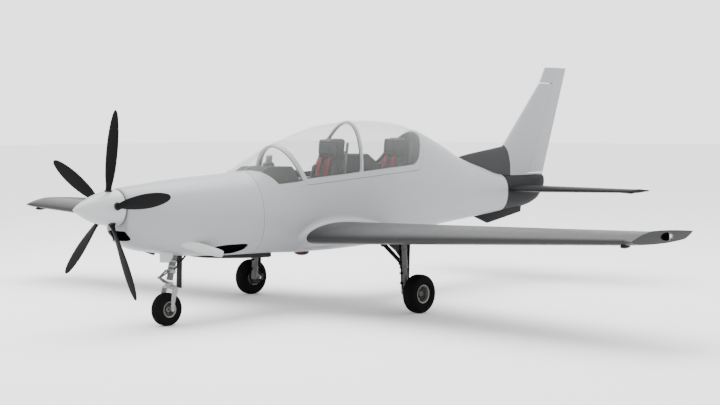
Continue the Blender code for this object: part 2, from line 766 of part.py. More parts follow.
# The room that a control surface turns in, and the hole along its hinge line for the pins.
def room_mesh(name, panel, span, fraction, side, low_front=False):
    ends = (span[0] - MOVING_GAP, span[1] + MOVING_GAP)
    return loft_mesh(name, [
        tail_ring(panel, s, fraction, side, MOVING_GAP, low_front) for s in ends])


def hinge_line(panel, s, fraction, side):
    x, middle, half = panel.hinge(s, fraction)
    px, py, pz = panel.place(s, x, middle)
    return Vector((px, side * py, pz))


def pin_hole_mesh(name, panel, span, fraction, side):
    reach = HINGE_PIN_LENGTH + MOVING_GAP
    ends = [hinge_line(panel, s, fraction, side) for s in (span[0] - reach, span[1] + reach)]
    return rod_mesh(name, *ends, HINGE_PIN + HINGE_PIN_SLACK)


wing_panel = Panel(
    (WING_ROOT_Y, WING_TIP_Y), (WING_ROOT_LE, WING_TIP_LE), (WING_ROOT_TE, WING_TIP_TE),
    (WING_ROOT_Z, WING_TIP_Z), WING_THICKNESS, WING_CAMBER)


def make_wing(side, word):
    mesh = loft_mesh(f"wing_{word}", [
        wing_panel.ring(WING_ROOT_Y, side), wing_panel.ring(WING_JOINT_Y, side)])
    wing = add_piece(f"wing_{word}", mesh, DARK_GREY, 0.45)
    cut(wing, hull_grown)
    for kind, span, low in (("flap", FLAP_SPAN, True), ("aileron", AILERON_SPAN, False)):
        name = f"{kind}_{word}"
        room = add_cutter(f"{name}_room", room_mesh(
            f"{name}_room", wing_panel, span, WING_HINGE, side, low_front=low))
        pin_hole = add_cutter(f"{name}_pin_hole", pin_hole_mesh(
            f"{name}_pin_hole", wing_panel, span, WING_HINGE, side))
        cut(wing, room, pin_hole)
        piece = add_piece(name, surface_mesh(name, wing_panel, span, WING_HINGE, side), DARK_GREY, 0.45)
        pivot, far = [hinge_line(wing_panel, s, WING_HINGE, side) for s in span]
        set_pivot(piece, pivot)
        report_axis(name, pivot, far - pivot)
    tip_ring = []
    for x, y, z in wing_panel.ring(WING_TIP_Y, side):
        t = (x - WING_TIP_LE) / (WING_TIP_TE - WING_TIP_LE)
        tip_ring.append((x, side * (WING_TIP_Y + (WING_TIP_AFT_Y - WING_TIP_Y) * t), z + 0.045 * t))
    tip = loft_mesh(f"wing_tip_{word}", [
        wing_panel.ring(WING_JOINT_Y + GAP, side), wing_panel.ring(WING_JOINT_Y + 0.05, side), tip_ring])
    add_piece(f"wing_tip_{word}", tip, DARK_GREY, 0.45)
    return wing


wings = {word: make_wing(side, word) for side, word in ((-1, "left"), (1, "right"))}


# Fin and rudder. The rudder's horn closes the top of the fin.
fin_panel = Panel(
    (FIN_BASE, RUDDER_TOP), (FIN_LE[0], FIN_TE[0]), (FIN_LE[1], FIN_TE[1]), (0, 0),
    (FIN_THICKNESS, FIN_THICKNESS), upright=True)


def make_fin():
    low = FIN_BASE - 0.06
    rings = [fin_panel.ring(s) for s in (low, FIN_TOP)]
    fin = add_piece("vertical_fin", loft_mesh("vertical_fin", rings), LIGHT_GREY, 0.38)
    room = add_cutter("rudder_room", room_mesh(
        "rudder_room", fin_panel, (FIN_BASE, FIN_TOP + 0.2), FIN_HINGE, 1))
    cut(fin, hull_grown, room)
    return fin


def make_rudder():
    base, top = FIN_BASE + 0.006, FIN_TOP + 0.012
    lower, upper = [tail_ring(fin_panel, s, FIN_HINGE, 1) for s in (base, top)]
    collar = pin_ring(fin_panel, lower, base, base, FIN_HINGE, 1)
    foot = pin_ring(fin_panel, lower, base, base - HINGE_PIN_LENGTH, FIN_HINGE, 1)
    horn = [horn_ring(s, NOSE_STEPS + 1) for s in (top, RUDDER_TOP)]
    rudder = add_piece("rudder", loft_mesh("rudder", [foot, collar, lower, upper, *horn]),
                       LIGHT_GREY, 0.38)
    pivot = hinge_line(fin_panel, base, FIN_HINGE, 1)
    set_pivot(rudder, pivot)
    report_axis("rudder", pivot, hinge_line(fin_panel, top, FIN_HINGE, 1) - pivot)
    ends = [hinge_line(fin_panel, base + s, FIN_HINGE, 1) for s in (-HINGE_PIN_LENGTH - MOVING_GAP, 0.03)]
    hole = add_cutter("rudder_hole", rod_mesh("rudder_hole", *ends, HINGE_PIN + HINGE_PIN_SLACK))
    cut(tail_cone, hole)
    cut(fin, hole)


# A full-chord fin section with as many points as a rudder section, nose points first.
def horn_ring(s, nose_count):
    lead, chord = fin_panel.mix(fin_panel.lead, s), fin_panel.chord(s)
    thickness = fin_panel.mix(fin_panel.thickness, s)
    nose = []
    for k in range(nose_count):
        t = 1 - abs(2 * k / (nose_count - 1) - 1)
        c = FIN_HINGE * (1 - t) ** 2
        h = thickness * half_thickness(c)
        nose.append((lead + chord * c, h * chord if 2 * k <= nose_count - 1 else -h * chord, s))
    upper, lower = section(thickness, 0.0, FIN_HINGE)
    tail = [(lead + chord * c, chord * h, s) for c, h in lower[1:] + upper[:-1]]
    return nose + tail


fin = make_fin()
make_rudder()

# Dark root of the fin: the fillet ahead of it.
fillet_outline = [(6.19, 1.70), (6.19, 1.822), (6.43, 1.862), (6.76, 1.903), (7.09, 1.943), (7.29, 1.972),
                  (7.36, 1.86), (7.383, 1.74), (7.383, 1.50), (6.6, 1.50)]


def make_dorsal_fillet():
    fillet = add_piece("dorsal_fillet", prism_mesh("dorsal_fillet", fillet_outline, -0.035, 0.035),
                       DARK_GREY, 0.5)
    grown_fin = add_cutter("fin_grown", loft_mesh("fin_grown", [
        [(x - 0.0006, y * 1.01, z) for x, y, z in fin_panel.ring(s)] for s in (1.45, 2.4)]))
    cut(fillet, hull_grown, grown_fin)
    return fillet


def make_strake():
    outline = [(6.52, 0.99), (6.90, 0.85), (7.72, 0.96), (7.77, 1.20), (6.7, 1.20)]
    strake = add_piece("ventral_strake", prism_mesh("ventral_strake", outline, -0.018, 0.018),
                       DARK_GREY, 0.5)
    cut(strake, hull_grown)
    return strake


make_dorsal_fillet()
make_strake()

# Tailplane halves and the one elevator that crosses the tail cone on its torque tube.
tail_panel = Panel(
    (TAILPLANE_ROOT_Y, TAILPLANE_TIP_Y), TAILPLANE_LE, TAILPLANE_TE, (TAILPLANE_Z, TAILPLANE_Z),
    (TAILPLANE_THICKNESS, TAILPLANE_THICKNESS))


def elevator_ring(s, side, grow=0.0):
    fraction = (ELEVATOR_STATION - tail_panel.mix(tail_panel.lead, s)) / tail_panel.chord(s)
    x, middle, half = tail_panel.hinge(s, fraction)
    lead, chord = tail_panel.mix(tail_panel.lead, s), tail_panel.chord(s)
    radius = half + grow
    points = []
    for k in range(NOSE_STEPS + 1):
        angle = math.pi / 2 + math.pi * k / NOSE_STEPS
        points.append((x + radius * math.cos(angle), radius * math.sin(angle)))
    if grow > 0:
        points += [(x + 1.0, -radius), (x + 1.0, radius)]
    else:
        for c in (0.33, 0.66, 1.0):
            f = fraction + (1 - fraction) * c
            h = max(TAILPLANE_THICKNESS * half_thickness(f), 0.0022)
            points.append((lead + chord * f, -chord * h))
        for c in (1.0, 0.66, 0.33):
            f = fraction + (1 - fraction) * c
            h = max(TAILPLANE_THICKNESS * half_thickness(f), 0.0022)
            points.append((lead + chord * f, chord * h))
    return [(px, side * s, TAILPLANE_Z + ph) for px, ph in points]


def tube_ring(pattern, y, radius):
    points = []
    for px, py, pz in pattern:
        dx, dz = px - ELEVATOR_STATION, pz - TAILPLANE_Z
        length = math.hypot(dx, dz)
        points.append((ELEVATOR_STATION + radius * dx / length, y, TAILPLANE_Z + radius * dz / length))
    return points


def make_tailplane():
    for side, word in ((-1, "left"), (1, "right")):
        rings = [tail_panel.ring(s, side) for s in (TAILPLANE_ROOT_Y, TAILPLANE_TIP_Y)]
        half = add_piece(f"stabilizer_{word}", loft_mesh(f"stabilizer_{word}", rings), DARK_GREY, 0.5)
        room = add_cutter(f"elevator_room_{word}", loft_mesh(f"elevator_room_{word}", [
            elevator_ring(s, side, MOVING_GAP) for s in (0.01, TAILPLANE_TIP_Y + 0.02)]))
        cut(half, hull_grown, room)
    rings = []
    for side in (-1, 1):
        root = elevator_ring(ELEVATOR_ROOT_Y, side)
        tip = elevator_ring(TAILPLANE_TIP_Y, side)
        step = tube_ring(root, side * ELEVATOR_ROOT_Y, ELEVATOR_TUBE)
        rings += [tip, root, step] if side < 0 else [step, root, tip]
    elevator = add_piece("elevator", loft_mesh("elevator", rings), DARK_GREY, 0.5)
    set_pivot(elevator, (ELEVATOR_STATION, 0.0, TAILPLANE_Z))
    return elevator


make_tailplane()


# Belly keel, beacon and exhaust stacks.
def make_belly():
    keel_outline = [(1.22, 0.76), (1.34, 0.69), (1.75, 0.650), (2.44, 0.635), (2.50, 0.64), (2.50, 0.80),
                    (1.22, 0.90)]
    keel = add_piece("belly_keel", prism_mesh("belly_keel", keel_outline, -0.10, 0.10), DARK_GREY, 0.5)
    cut(keel, hull_grown)
    beacon = turned("belly_beacon", [(0.0, 0.0), (0.09, 0.012), (0.09, 0.040), (0.0, 0.040)],
                    (3.04, 0, 0.664), (0, 0, 1), DARK_GREY, steps=24)
    cut(beacon, hull_grown)


def make_exhausts():
    for side, word in ((-1, "left"), (1, "right")):
        name = f"exhaust_stack_{word}"
        start, bend, end = ((0.58, side * 0.30, 1.02), (0.80, side * 0.505, 0.935), (1.17, side * 0.60, 0.825))
        stack = add_piece(name, rod_mesh(name, bend, end, 0.052, 0.046), LIGHT_GREY, 0.5)
        root = add_cutter(f"{name}_root", rod_mesh(f"{name}_root", start, bend, 0.056, 0.052))
        along = (Vector(end) - Vector(bend)).normalized()
        mouth = add_cutter(f"{name}_mouth", rod_mesh(
            f"{name}_mouth", Vector(end) - along * 0.12, Vector(end) + along * 0.05, 0.038))
        join(stack, root)
        cut(stack, mouth, hull_grown)


make_belly()
make_exhausts()


# Propeller: spinner with sockets for the blades, and the shaft behind it.
def make_spinner():
    length = SPINNER_BASE - SPINNER_TIP
    outside = []
    count = 9
    for k in range(count + 1):
        t = k / count
        u = 0.35 * t * t + 0.65 * t
        outside.append((SPINNER_RADIUS * (1 - (1 - u) ** 1.75) ** 0.88, SPINNER_TIP + length * u))
    profile = outside + [(SHAFT_RADIUS, SPINNER_BASE), (SHAFT_RADIUS, 0.4197), (0.0, 0.4197)]
    spinner = turned("spinner", profile, (0, 0, SHAFT_HEIGHT), (1, 0, 0), LIGHT_GREY, steps=28, roughness=0.35)
    return spinner


BLADE_ROOT_RADIUS, BLADE_SEAT = 0.034, 0.100
# Radius over tip radius, chord, thickness over chord, pitch in degrees.
BLADE_FORM = [
    (0.210, 0.070, 0.60, 52), (0.30, 0.105, 0.26, 42), (0.42, 0.140, 0.15, 34), (0.55, 0.160, 0.11, 28),
    (0.68, 0.165, 0.09, 23), (0.80, 0.155, 0.075, 20), (0.90, 0.128, 0.07, 17), (0.96, 0.092, 0.07, 16),
    (0.99, 0.050, 0.08, 15), (1.0, 0.018, 0.12, 15),
]
BLADE_POINTS = 10


def blade_ring(radius, chord, thickness, pitch):
    points = []
    turn = math.radians(pitch)
    for k in range(BLADE_POINTS):
        angle = 2 * math.pi * k / BLADE_POINTS
        along, across = chord / 2 * math.cos(angle), chord * thickness / 2 * math.sin(angle)
        points.append((
            along * math.sin(turn) + across * math.cos(turn),
            -along * math.cos(turn) + across * math.sin(turn),
            radius,
        ))
    return points


def make_blade(index):
    rings = [blade_ring(BLADE_SEAT + GAP, 2 * BLADE_ROOT_RADIUS, 1.0, 55),
             blade_ring(0.195, 2 * BLADE_ROOT_RADIUS, 1.0, 55)]
    rings += [blade_ring(r * PROP_RADIUS, chord, t, pitch) for r, chord, t, pitch in BLADE_FORM]
    name = f"blade_{index + 1}"
    blade = add_piece(name, loft_mesh(name, rings), BLACK, 0.5)
    angle = FIRST_BLADE_ANGLE + 2 * math.pi * index / BLADE_COUNT
    blade.location = (0, 0, SHAFT_HEIGHT)
    blade.rotation_euler = (-angle, 0, 0)
    socket = add_cutter(f"socket_{index + 1}", rod_mesh(
        f"socket_{index + 1}", (0, 0, BLADE_SEAT), (0, 0, 0.3), BLADE_ROOT_RADIUS + 0.008, segments=20))
    socket.location = (0, 0, SHAFT_HEIGHT)
    socket.rotation_euler = (-angle, 0, 0)
    cut(spinner, socket)
    return blade


spinner = make_spinner()
blades = [make_blade(index) for index in range(BLADE_COUNT)]


# Wheels.
def tyre_profile(radius, half_width, rim_radius):
    bead = half_width * 0.72
    shoulder = radius - 0.35 * (radius - rim_radius)
    return [
        (rim_radius, -bead), (rim_radius + 0.012, -half_width * 0.86), (shoulder * 0.93, -half_width),
        (shoulder, -half_width * 0.95), (radius - 0.008, -half_width * 0.62), (radius, -half_width * 0.30),
        (radius, half_width * 0.30), (radius - 0.008, half_width * 0.62), (shoulder, half_width * 0.95),
        (shoulder * 0.93, half_width), (rim_radius + 0.012, half_width * 0.86), (rim_radius, bead),
    ]


def rim_profile(rim_radius, half_width, bore):
    bead = half_width * 0.80
    edge = rim_radius - GAP
    web = half_width * 0.45
    return [
        (bore, -bead), (bore + 0.018, -bead), (bore + 0.024, -web), (edge - 0.016, -web),
        (edge - 0.010, -bead), (edge, -bead), (edge, bead), (edge - 0.010, bead), (edge - 0.016, web),
        (bore + 0.024, web), (bore + 0.018, bead), (bore, bead),
    ]


def make_wheel(word, wheel, side, bore):
    station, track, radius, half_width, rim_radius = wheel
    centre = (station, side * track, radius)
    turned(f"{word}_tyre", tyre_profile(radius, half_width, rim_radius), centre, (0, 1, 0), BLACK,
           closed=True, steps=28, roughness=0.85)
    return turned(f"{word}_rim", rim_profile(rim_radius, half_width, bore), centre, (0, 1, 0), SILVER,
                  closed=True, steps=28, roughness=0.4, metallic=0.8)


make_wheel("nose_wheel", NOSE_WHEEL, 0, NOSE_AXLE_RADIUS + 0.0006)
for side, word in ((-1, "left"), (1, "right")):
    make_wheel(f"main_wheel_{word}", MAIN_WHEEL, side, MAIN_AXLE_RADIUS + 0.0006)


# Nose gear: a raked leg with a bore, and the fork's piston that turns in it.
def leg_point(z):
    top, foot = Vector(NOSE_LEG_TOP), Vector(NOSE_LEG_FOOT)
    return foot + (top - foot) * ((z - foot.z) / (top.z - foot.z))


def make_nose_gear():
    leg = add_piece("nose_leg", rod_mesh("nose_leg", leg_point(0.90), leg_point(0.50), 0.040), SILVER,
                    0.45, 0.6)
    collar = add_cutter("nose_collar", rod_mesh("nose_collar", leg_point(0.56), leg_point(0.52), 0.050))
    brace = add_cutter("nose_brace", rod_mesh("nose_brace", leg_point(0.60), (1.16, 0, 0.86), 0.014))
    join(leg, collar, brace)
    piston_radius = 0.028
    bore = add_cutter("nose_bore", rod_mesh("nose_bore", leg_point(0.46), leg_point(0.60),
                                            piston_radius + 0.0006))
    cut(leg, hull_grown, bore)
    piston = rod_mesh("nose_fork", leg_point(0.58), leg_point(0.415), piston_radius)
    fork = add_piece("nose_fork", piston, SILVER, 0.45, 0.6)
    station, track, radius, half_width, rim_radius = NOSE_WHEEL
    arm_y = half_width + 0.018
    crown_low, crown_high = radius * 2 + 0.012, 0.435
    centre_x = leg_point(crown_high).x
    crown = box_mesh("nose_crown", (centre_x - 0.045, -arm_y - 0.014, crown_low),
                     (centre_x + 0.045, arm_y + 0.014, crown_high))
    pieces = [add_cutter("nose_crown", crown)]
    for side in (-1, 1):
        arm = [(centre_x - 0.040, crown_low + 0.02), (centre_x + 0.040, crown_low + 0.02),
               (station + 0.024, radius - 0.024), (station - 0.024, radius - 0.024)]
        y = sorted((side * arm_y, side * (arm_y + 0.014)))
        pieces.append(add_cutter(f"nose_arm_{side}", prism_mesh(f"nose_arm_{side}", arm, *y)))
    pieces.append(add_cutter("nose_axle", rod_mesh(
        "nose_axle", (station, -arm_y - 0.030, radius), (station, arm_y + 0.030, radius), NOSE_AXLE_RADIUS)))
    join(fork, *pieces)
    set_pivot(fork, leg_point(0.50))
    along = (Vector(NOSE_LEG_TOP) - Vector(NOSE_LEG_FOOT)).normalized()
    report_axis("steering", leg_point(0.50), along)
    door = [(0.62, 0.92), (0.80, 0.92), (0.80, 0.745), (0.62, 0.745)]
    for side, word in ((-1, "left"), (1, "right")):
        y = sorted((side * 0.150, side * 0.162))
        piece = add_piece(f"nose_bay_door_{word}", prism_mesh(f"nose_bay_door_{word}", door, *y),
                          LIGHT_GREY, 0.45)
        cut(piece, hull_grown)
    plate = [(1.02, 0.90), (1.085, 0.90), (1.03, 0.42), (0.99, 0.42)]
    leg_door = add_piece("nose_leg_door", prism_mesh("nose_leg_door", plate, -0.06, 0.06), DARK_GREY, 0.5)
    cut(leg_door, hull_grown, add_cutter("nose_brace_room", rod_mesh(
        "nose_brace_room", leg_point(0.60), (1.16, 0, 0.86), 0.016)))
    return leg, fork


nose_leg, nose_fork = make_nose_gear()


# Main gear: a leg under each wing, inboard of its wheel, with an axle and a side brace.
def make_main_gear(side, word):
    def flip(point):
        return (point[0], side * point[1], point[2])

    station, track, radius, half_width, rim_radius = MAIN_WHEEL
    name = f"main_leg_{word}"
    leg = add_piece(name, rod_mesh(name, flip(MAIN_LEG_TOP), flip(MAIN_LEG_FOOT), 0.046, 0.040), SILVER,
                    0.45, 0.6)
    foot = Vector(flip(MAIN_LEG_FOOT))
    axle = add_cutter(f"{name}_axle", rod_mesh(
        f"{name}_axle", (station, foot.y - side * 0.03, radius),
        (station, side * (track + half_width * 0.80 + 0.006), radius), MAIN_AXLE_RADIUS))
    brace = add_cutter(f"{name}_brace", rod_mesh(
        f"{name}_brace", flip((3.59, 0.88, 0.90)), flip((3.588, 1.315, 0.47)), 0.016))
    join(leg, axle, brace)
    wing_tool = add_cutter(f"{name}_wing", loft_mesh(f"{name}_wing", [
        wing_panel.ring(s, side, shift=-GAP) for s in (WING_ROOT_Y, WING_JOINT_Y)]))
    cut(leg, wing_tool)
    door_outline = [(3.665, 0.95), (3.69, 0.95), (3.655, 0.34), (3.63, 0.34)]
    y = sorted((side * 1.275, side * 1.375))
    door_name = f"main_leg_door_{word}"
    door = add_piece(door_name, prism_mesh(door_name, door_outline, *y), DARK_GREY, 0.5)
    cut(door, wing_tool)
    return leg


for side, word in ((-1, "left"), (1, "right")):
    make_main_gear(side, word)
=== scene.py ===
# Turboprop trainer, parked in a plain white studio.
import json
import math
import bpy
import bmesh
from mathutils import Matrix, Vector

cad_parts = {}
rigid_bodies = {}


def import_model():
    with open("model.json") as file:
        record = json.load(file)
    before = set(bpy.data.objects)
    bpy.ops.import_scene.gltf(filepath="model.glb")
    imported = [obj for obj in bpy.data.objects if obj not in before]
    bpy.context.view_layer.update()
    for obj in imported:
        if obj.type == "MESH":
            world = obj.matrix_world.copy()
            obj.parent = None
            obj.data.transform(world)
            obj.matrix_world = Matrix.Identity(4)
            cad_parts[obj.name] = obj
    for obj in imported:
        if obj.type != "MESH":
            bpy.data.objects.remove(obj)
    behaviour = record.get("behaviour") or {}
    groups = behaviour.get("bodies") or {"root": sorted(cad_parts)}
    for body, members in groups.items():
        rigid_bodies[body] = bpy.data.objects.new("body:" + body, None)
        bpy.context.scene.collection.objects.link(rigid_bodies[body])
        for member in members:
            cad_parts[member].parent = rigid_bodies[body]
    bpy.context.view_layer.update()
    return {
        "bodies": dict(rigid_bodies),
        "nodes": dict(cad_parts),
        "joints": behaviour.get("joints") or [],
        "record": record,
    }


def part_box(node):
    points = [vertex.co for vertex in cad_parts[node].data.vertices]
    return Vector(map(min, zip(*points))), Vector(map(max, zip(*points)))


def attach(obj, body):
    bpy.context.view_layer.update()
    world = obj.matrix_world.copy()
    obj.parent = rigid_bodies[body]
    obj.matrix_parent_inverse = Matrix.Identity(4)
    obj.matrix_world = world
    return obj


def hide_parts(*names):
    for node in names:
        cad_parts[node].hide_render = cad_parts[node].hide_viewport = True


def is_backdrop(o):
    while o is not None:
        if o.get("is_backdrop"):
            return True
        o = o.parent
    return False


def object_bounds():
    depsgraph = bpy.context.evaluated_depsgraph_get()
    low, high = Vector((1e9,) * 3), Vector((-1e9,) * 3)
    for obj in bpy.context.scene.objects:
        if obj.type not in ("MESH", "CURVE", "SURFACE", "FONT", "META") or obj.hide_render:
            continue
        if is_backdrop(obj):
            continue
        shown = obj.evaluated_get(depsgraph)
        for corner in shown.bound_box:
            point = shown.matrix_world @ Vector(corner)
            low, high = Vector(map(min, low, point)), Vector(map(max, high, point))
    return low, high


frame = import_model()
bladeLow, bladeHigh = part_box("blade_1")
discX = (bladeLow.x + bladeHigh.x) / 2  # stations are metres aft of the propeller disc
print("frame loaded, propeller disc at x =", round(discX, 3))


# A point in the frame from its station, side and height.
def at(x, y, z):
    return Vector((x + discX, y, z))


def lerp(a, b, t):
    return a + (b - a) * t


# Two distances from the middle, as y on one side, the lower first.
def spanOn(side, near, far):
    return sorted((side * near, side * far))


# Finishes: colour, roughness, reflection and metal, with a slow colour drift, fine grain and bump.
finishes = {
    "lightPaint": dict(colour=(0.235, 0.243, 0.257), rough=0.38, spec=0.45, drift=0.03, bump=0.03, coat=0.05),
    "spinnerPaint": dict(colour=(0.330, 0.335, 0.346), rough=0.30, spec=0.5, drift=0.02, bump=0.02,
                         coat=0.10),
    "podPaint": dict(colour=(0.340, 0.345, 0.350), rough=0.42, spec=0.4, drift=0.05, bump=0.04),
    "darkPaint": dict(colour=(0.0230, 0.0236, 0.0250), rough=0.40, spec=0.14, drift=0.06, bump=0.04),
    "dorsalPaint": dict(colour=(0.026, 0.027, 0.0285), rough=0.45, spec=0.15, drift=0.08, bump=0.04),
    "tailPaint": dict(colour=(0.0080, 0.0086, 0.0096), rough=0.50, spec=0.06, drift=0.10, bump=0.04),
    "bladeBlack": dict(colour=(0.0045, 0.0045, 0.0050), rough=0.50, spec=0.04, drift=0.15, grain=1400,
                       bump=0.05),
    # Near black, used for black parts such as hoses, clips and exhaust liners, and as painted shade in gaps
    # and inside the cowling.
    "blackAndPaintedShade": dict(colour=(0.0015, 0.0015, 0.0015), rough=0.80, spec=0.0, drift=0.0, grain=200, bump=0.02),
    "rubber": dict(colour=(0.0042, 0.0041, 0.0040), rough=0.80, spec=0.03, drift=0.35, grain=500, bump=0.18),
    "rimMetal": dict(colour=(0.170, 0.170, 0.163), rough=0.38, spec=0.3, metal=0.5, drift=0.10, grain=700,
                     bump=0.06),
    "rimDark": dict(colour=(0.034, 0.034, 0.032), rough=0.55, spec=0.1, drift=0.20, grain=600, bump=0.08),
    "gearPaint": dict(colour=(0.190, 0.192, 0.196), rough=0.42, spec=0.35, drift=0.12, grain=500, bump=0.08),
    "gearGrey": dict(colour=(0.068, 0.069, 0.070), rough=0.45, spec=0.25, drift=0.18, grain=500, bump=0.08),
    "gearDark": dict(colour=(0.012, 0.012, 0.0125), rough=0.50, spec=0.10, drift=0.15, grain=500, bump=0.08),
    "chrome": dict(colour=(0.30, 0.30, 0.305), rough=0.20, spec=0.5, metal=0.8, drift=0.02, bump=0.01),
    "lining": dict(colour=(0.014, 0.0145, 0.014), rough=0.65, spec=0.08, drift=0.10, grain=1800, bump=0.20),
    "sidewall": dict(colour=(0.030, 0.031, 0.029), rough=0.65, spec=0.15, drift=0.10, grain=1800, bump=0.20),
    "coaming": dict(colour=(0.024, 0.025, 0.022), rough=0.82, spec=0.08, drift=0.12, grain=2200, bump=0.35),
    "seatShell": dict(colour=(0.016, 0.0165, 0.0155), rough=0.60, spec=0.15, drift=0.10, grain=1500,
                      bump=0.15),
    "seatCloth": dict(colour=(0.020, 0.021, 0.019), rough=0.88, spec=0.06, drift=0.14, weave=1500, bump=0.35,
                      sheen=0.05),
    "headrest": dict(colour=(0.026, 0.027, 0.025), rough=0.60, spec=0.12, drift=0.10, bump=0.30),
    "strapRed": dict(colour=(0.130, 0.008, 0.014), rough=0.75, spec=0.1, drift=0.08, weave=2600, bump=0.45),
    "strapGrey": dict(colour=(0.085, 0.086, 0.080), rough=0.75, spec=0.1, drift=0.08, weave=2600, bump=0.45),
    "screen": dict(colour=(0.008, 0.010, 0.013), rough=0.14, spec=0.3, drift=0.0, grain=300, bump=0.0,
                   coat=0.2),
    "knob": dict(colour=(0.020, 0.020, 0.020), rough=0.45, spec=0.2, drift=0.05, grain=900, bump=0.05),
    "markWhite": dict(colour=(0.40, 0.40, 0.38), rough=0.60, spec=0.1, drift=0.04, grain=900, bump=0.02),
    "lamp": dict(colour=(0.55, 0.56, 0.55), rough=0.20, spec=0.5, drift=0.02, grain=900, bump=0.01),
    "beaconRed": dict(colour=(0.030, 0.010, 0.010), rough=0.22, spec=0.3, drift=0.05, grain=900, bump=0.01),
}


def node(tree, kind, **values):
    made = tree.nodes.new(kind)
    for name, value in values.items():
        setattr(made, name, value)
    return made


# A painted, metal, rubber, plastic or woven finish.
def makeFinish(name, colour, rough, spec, drift=0.05, grain=900, bump=0.05, metal=0.0, coat=0.0, sheen=0.0,
               weave=0):
    material = bpy.data.materials.new(name)
    material.use_nodes = True
    tree = material.node_tree
    shader = tree.nodes["Principled BSDF"]
    link = tree.links.new
    place = node(tree, "ShaderNodeTexCoord")
    slow = node(tree, "ShaderNodeTexNoise")
    slow.inputs["Scale"].default_value = 1.7
    slow.inputs["Detail"].default_value = 5
    link(place.outputs["Object"], slow.inputs["Vector"])
    shade = node(tree, "ShaderNodeMix", data_type="RGBA")
    shade.inputs["A"].default_value = (*[min(1, c * (1 - drift)) for c in colour], 1)
    shade.inputs["B"].default_value = (*[min(1, c * (1 + drift)) for c in colour], 1)
    link(slow.outputs["Fac"], shade.inputs["Factor"])
    link(shade.outputs["Result"], shader.inputs["Base Color"])
    spread = node(tree, "ShaderNodeMapRange")
    spread.inputs["To Min"].default_value = max(0.02, rough - 0.06)
    spread.inputs["To Max"].default_value = min(1.0, rough + 0.06)
    cloud = node(tree, "ShaderNodeTexNoise")
    cloud.inputs["Scale"].default_value = 9
    cloud.inputs["Detail"].default_value = 4
    link(place.outputs["Object"], cloud.inputs["Vector"])
    link(cloud.outputs["Fac"], spread.inputs["Value"])
    link(spread.outputs["Result"], shader.inputs["Roughness"])
    if weave:
        fine = node(tree, "ShaderNodeTexWave", wave_type="BANDS", bands_direction="DIAGONAL")
        fine.inputs["Scale"].default_value = weave / 6
        fine.inputs["Distortion"].default_value = 1.5
        height = fine.outputs["Fac"]
    else:
        fine = node(tree, "ShaderNodeTexNoise")
        fine.inputs["Scale"].default_value = grain
        fine.inputs["Detail"].default_value = 2
        height = fine.outputs["Fac"]
    link(place.outputs["Object"], fine.inputs["Vector"])
    relief = node(tree, "ShaderNodeBump")
    relief.inputs["Strength"].default_value = bump
    relief.inputs["Distance"].default_value = 0.001
    link(height, relief.inputs["Height"])
    link(relief.outputs["Normal"], shader.inputs["Normal"])
    shader.inputs["Metallic"].default_value = metal
    shader.inputs["Specular IOR Level"].default_value = spec
    shader.inputs["Coat Weight"].default_value = coat
    shader.inputs["Coat Roughness"].default_value = 0.15
    shader.inputs["Sheen Weight"].default_value = sheen
    return material


# Acrylic with a grey tint, and a grey veil that grows towards the edge as painted reflection: how opaque it
# is from straight ahead and at its edge.
glass = {"colour": (0.30, 0.31, 0.31, 1), "spec": 0.12, "rough": 0.04, "blend": 0.30, "straight": 0.018,
         "edge": 0.34}


def makeGlass():
    material = bpy.data.materials.new("canopyGlass")
    material.use_nodes = True
    tree = material.node_tree
    shader = tree.nodes["Principled BSDF"]
    shader.inputs["Base Color"].default_value = glass["colour"]
    shader.inputs["Specular IOR Level"].default_value = glass["spec"]
    shader.inputs["Roughness"].default_value = glass["rough"]
    edge = node(tree, "ShaderNodeLayerWeight")
    edge.inputs["Blend"].default_value = glass["blend"]
    cloud = node(tree, "ShaderNodeTexNoise")
    cloud.inputs["Scale"].default_value = 2.0
    spread = node(tree, "ShaderNodeMapRange")
    spread.inputs["To Min"].default_value = glass["straight"]
    spread.inputs["To Max"].default_value = glass["edge"]
    tree.links.new(edge.outputs["Facing"], spread.inputs["Value"])
    tree.links.new(spread.outputs["Result"], shader.inputs["Alpha"])
    tree.links.new(cloud.outputs["Fac"], shader.inputs["Coat Weight"])
    return material


materials = {name: makeFinish(name, **values) for name, values in finishes.items()}
materials["glass"] = makeGlass()
print("finishes made:", len(materials))


# Meshes and pieces.
def smoothMesh(mesh, angle=32):
    mesh.shade_smooth()
    mesh.set_sharp_from_angle(angle=math.radians(angle))
    return mesh


def meshFrom(name, build, angle=32):
    shape = bmesh.new()
    build(shape)
    bmesh.ops.recalc_face_normals(shape, faces=shape.faces)
    mesh = bpy.data.meshes.new(name)
    shape.to_mesh(mesh)
    shape.free()
    return smoothMesh(mesh, angle)


def loose(name, mesh):
    made = bpy.data.objects.new(name, mesh)
    bpy.context.scene.collection.objects.link(made)
    return made


# Gives an object its finish, its body and the CAD nodes that it stands for.
def finishPiece(made, finish, body="airframe", replaces=()):
    made.data.materials.clear()
    made.data.materials.append(materials[finish])
    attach(made, body)
    if replaces:
        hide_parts(*([replaces] if isinstance(replaces, str) else replaces))
    return made


def piece(name, mesh, finish, body="airframe", replaces=()):
    return finishPiece(loose(name, mesh), finish, body, replaces)


# Applies an object's modifiers.
def settle(made):
    tree = bpy.context.evaluated_depsgraph_get()
    mesh = bpy.data.meshes.new_from_object(made.evaluated_get(tree))
    made.modifiers.clear()
    made.data = mesh
    return made


# Boolean steps, each an operation and the object that it uses up.
def carve(made, *steps, angle=32):
    for operation, tool in steps:
        change = made.modifiers.new(operation, "BOOLEAN")
        change.operation = operation
        change.object = tool
        change.solver = "EXACT"
    settle(made)
    smoothMesh(made.data, angle)
    for _, tool in steps:
        bpy.data.objects.remove(tool)
    return made


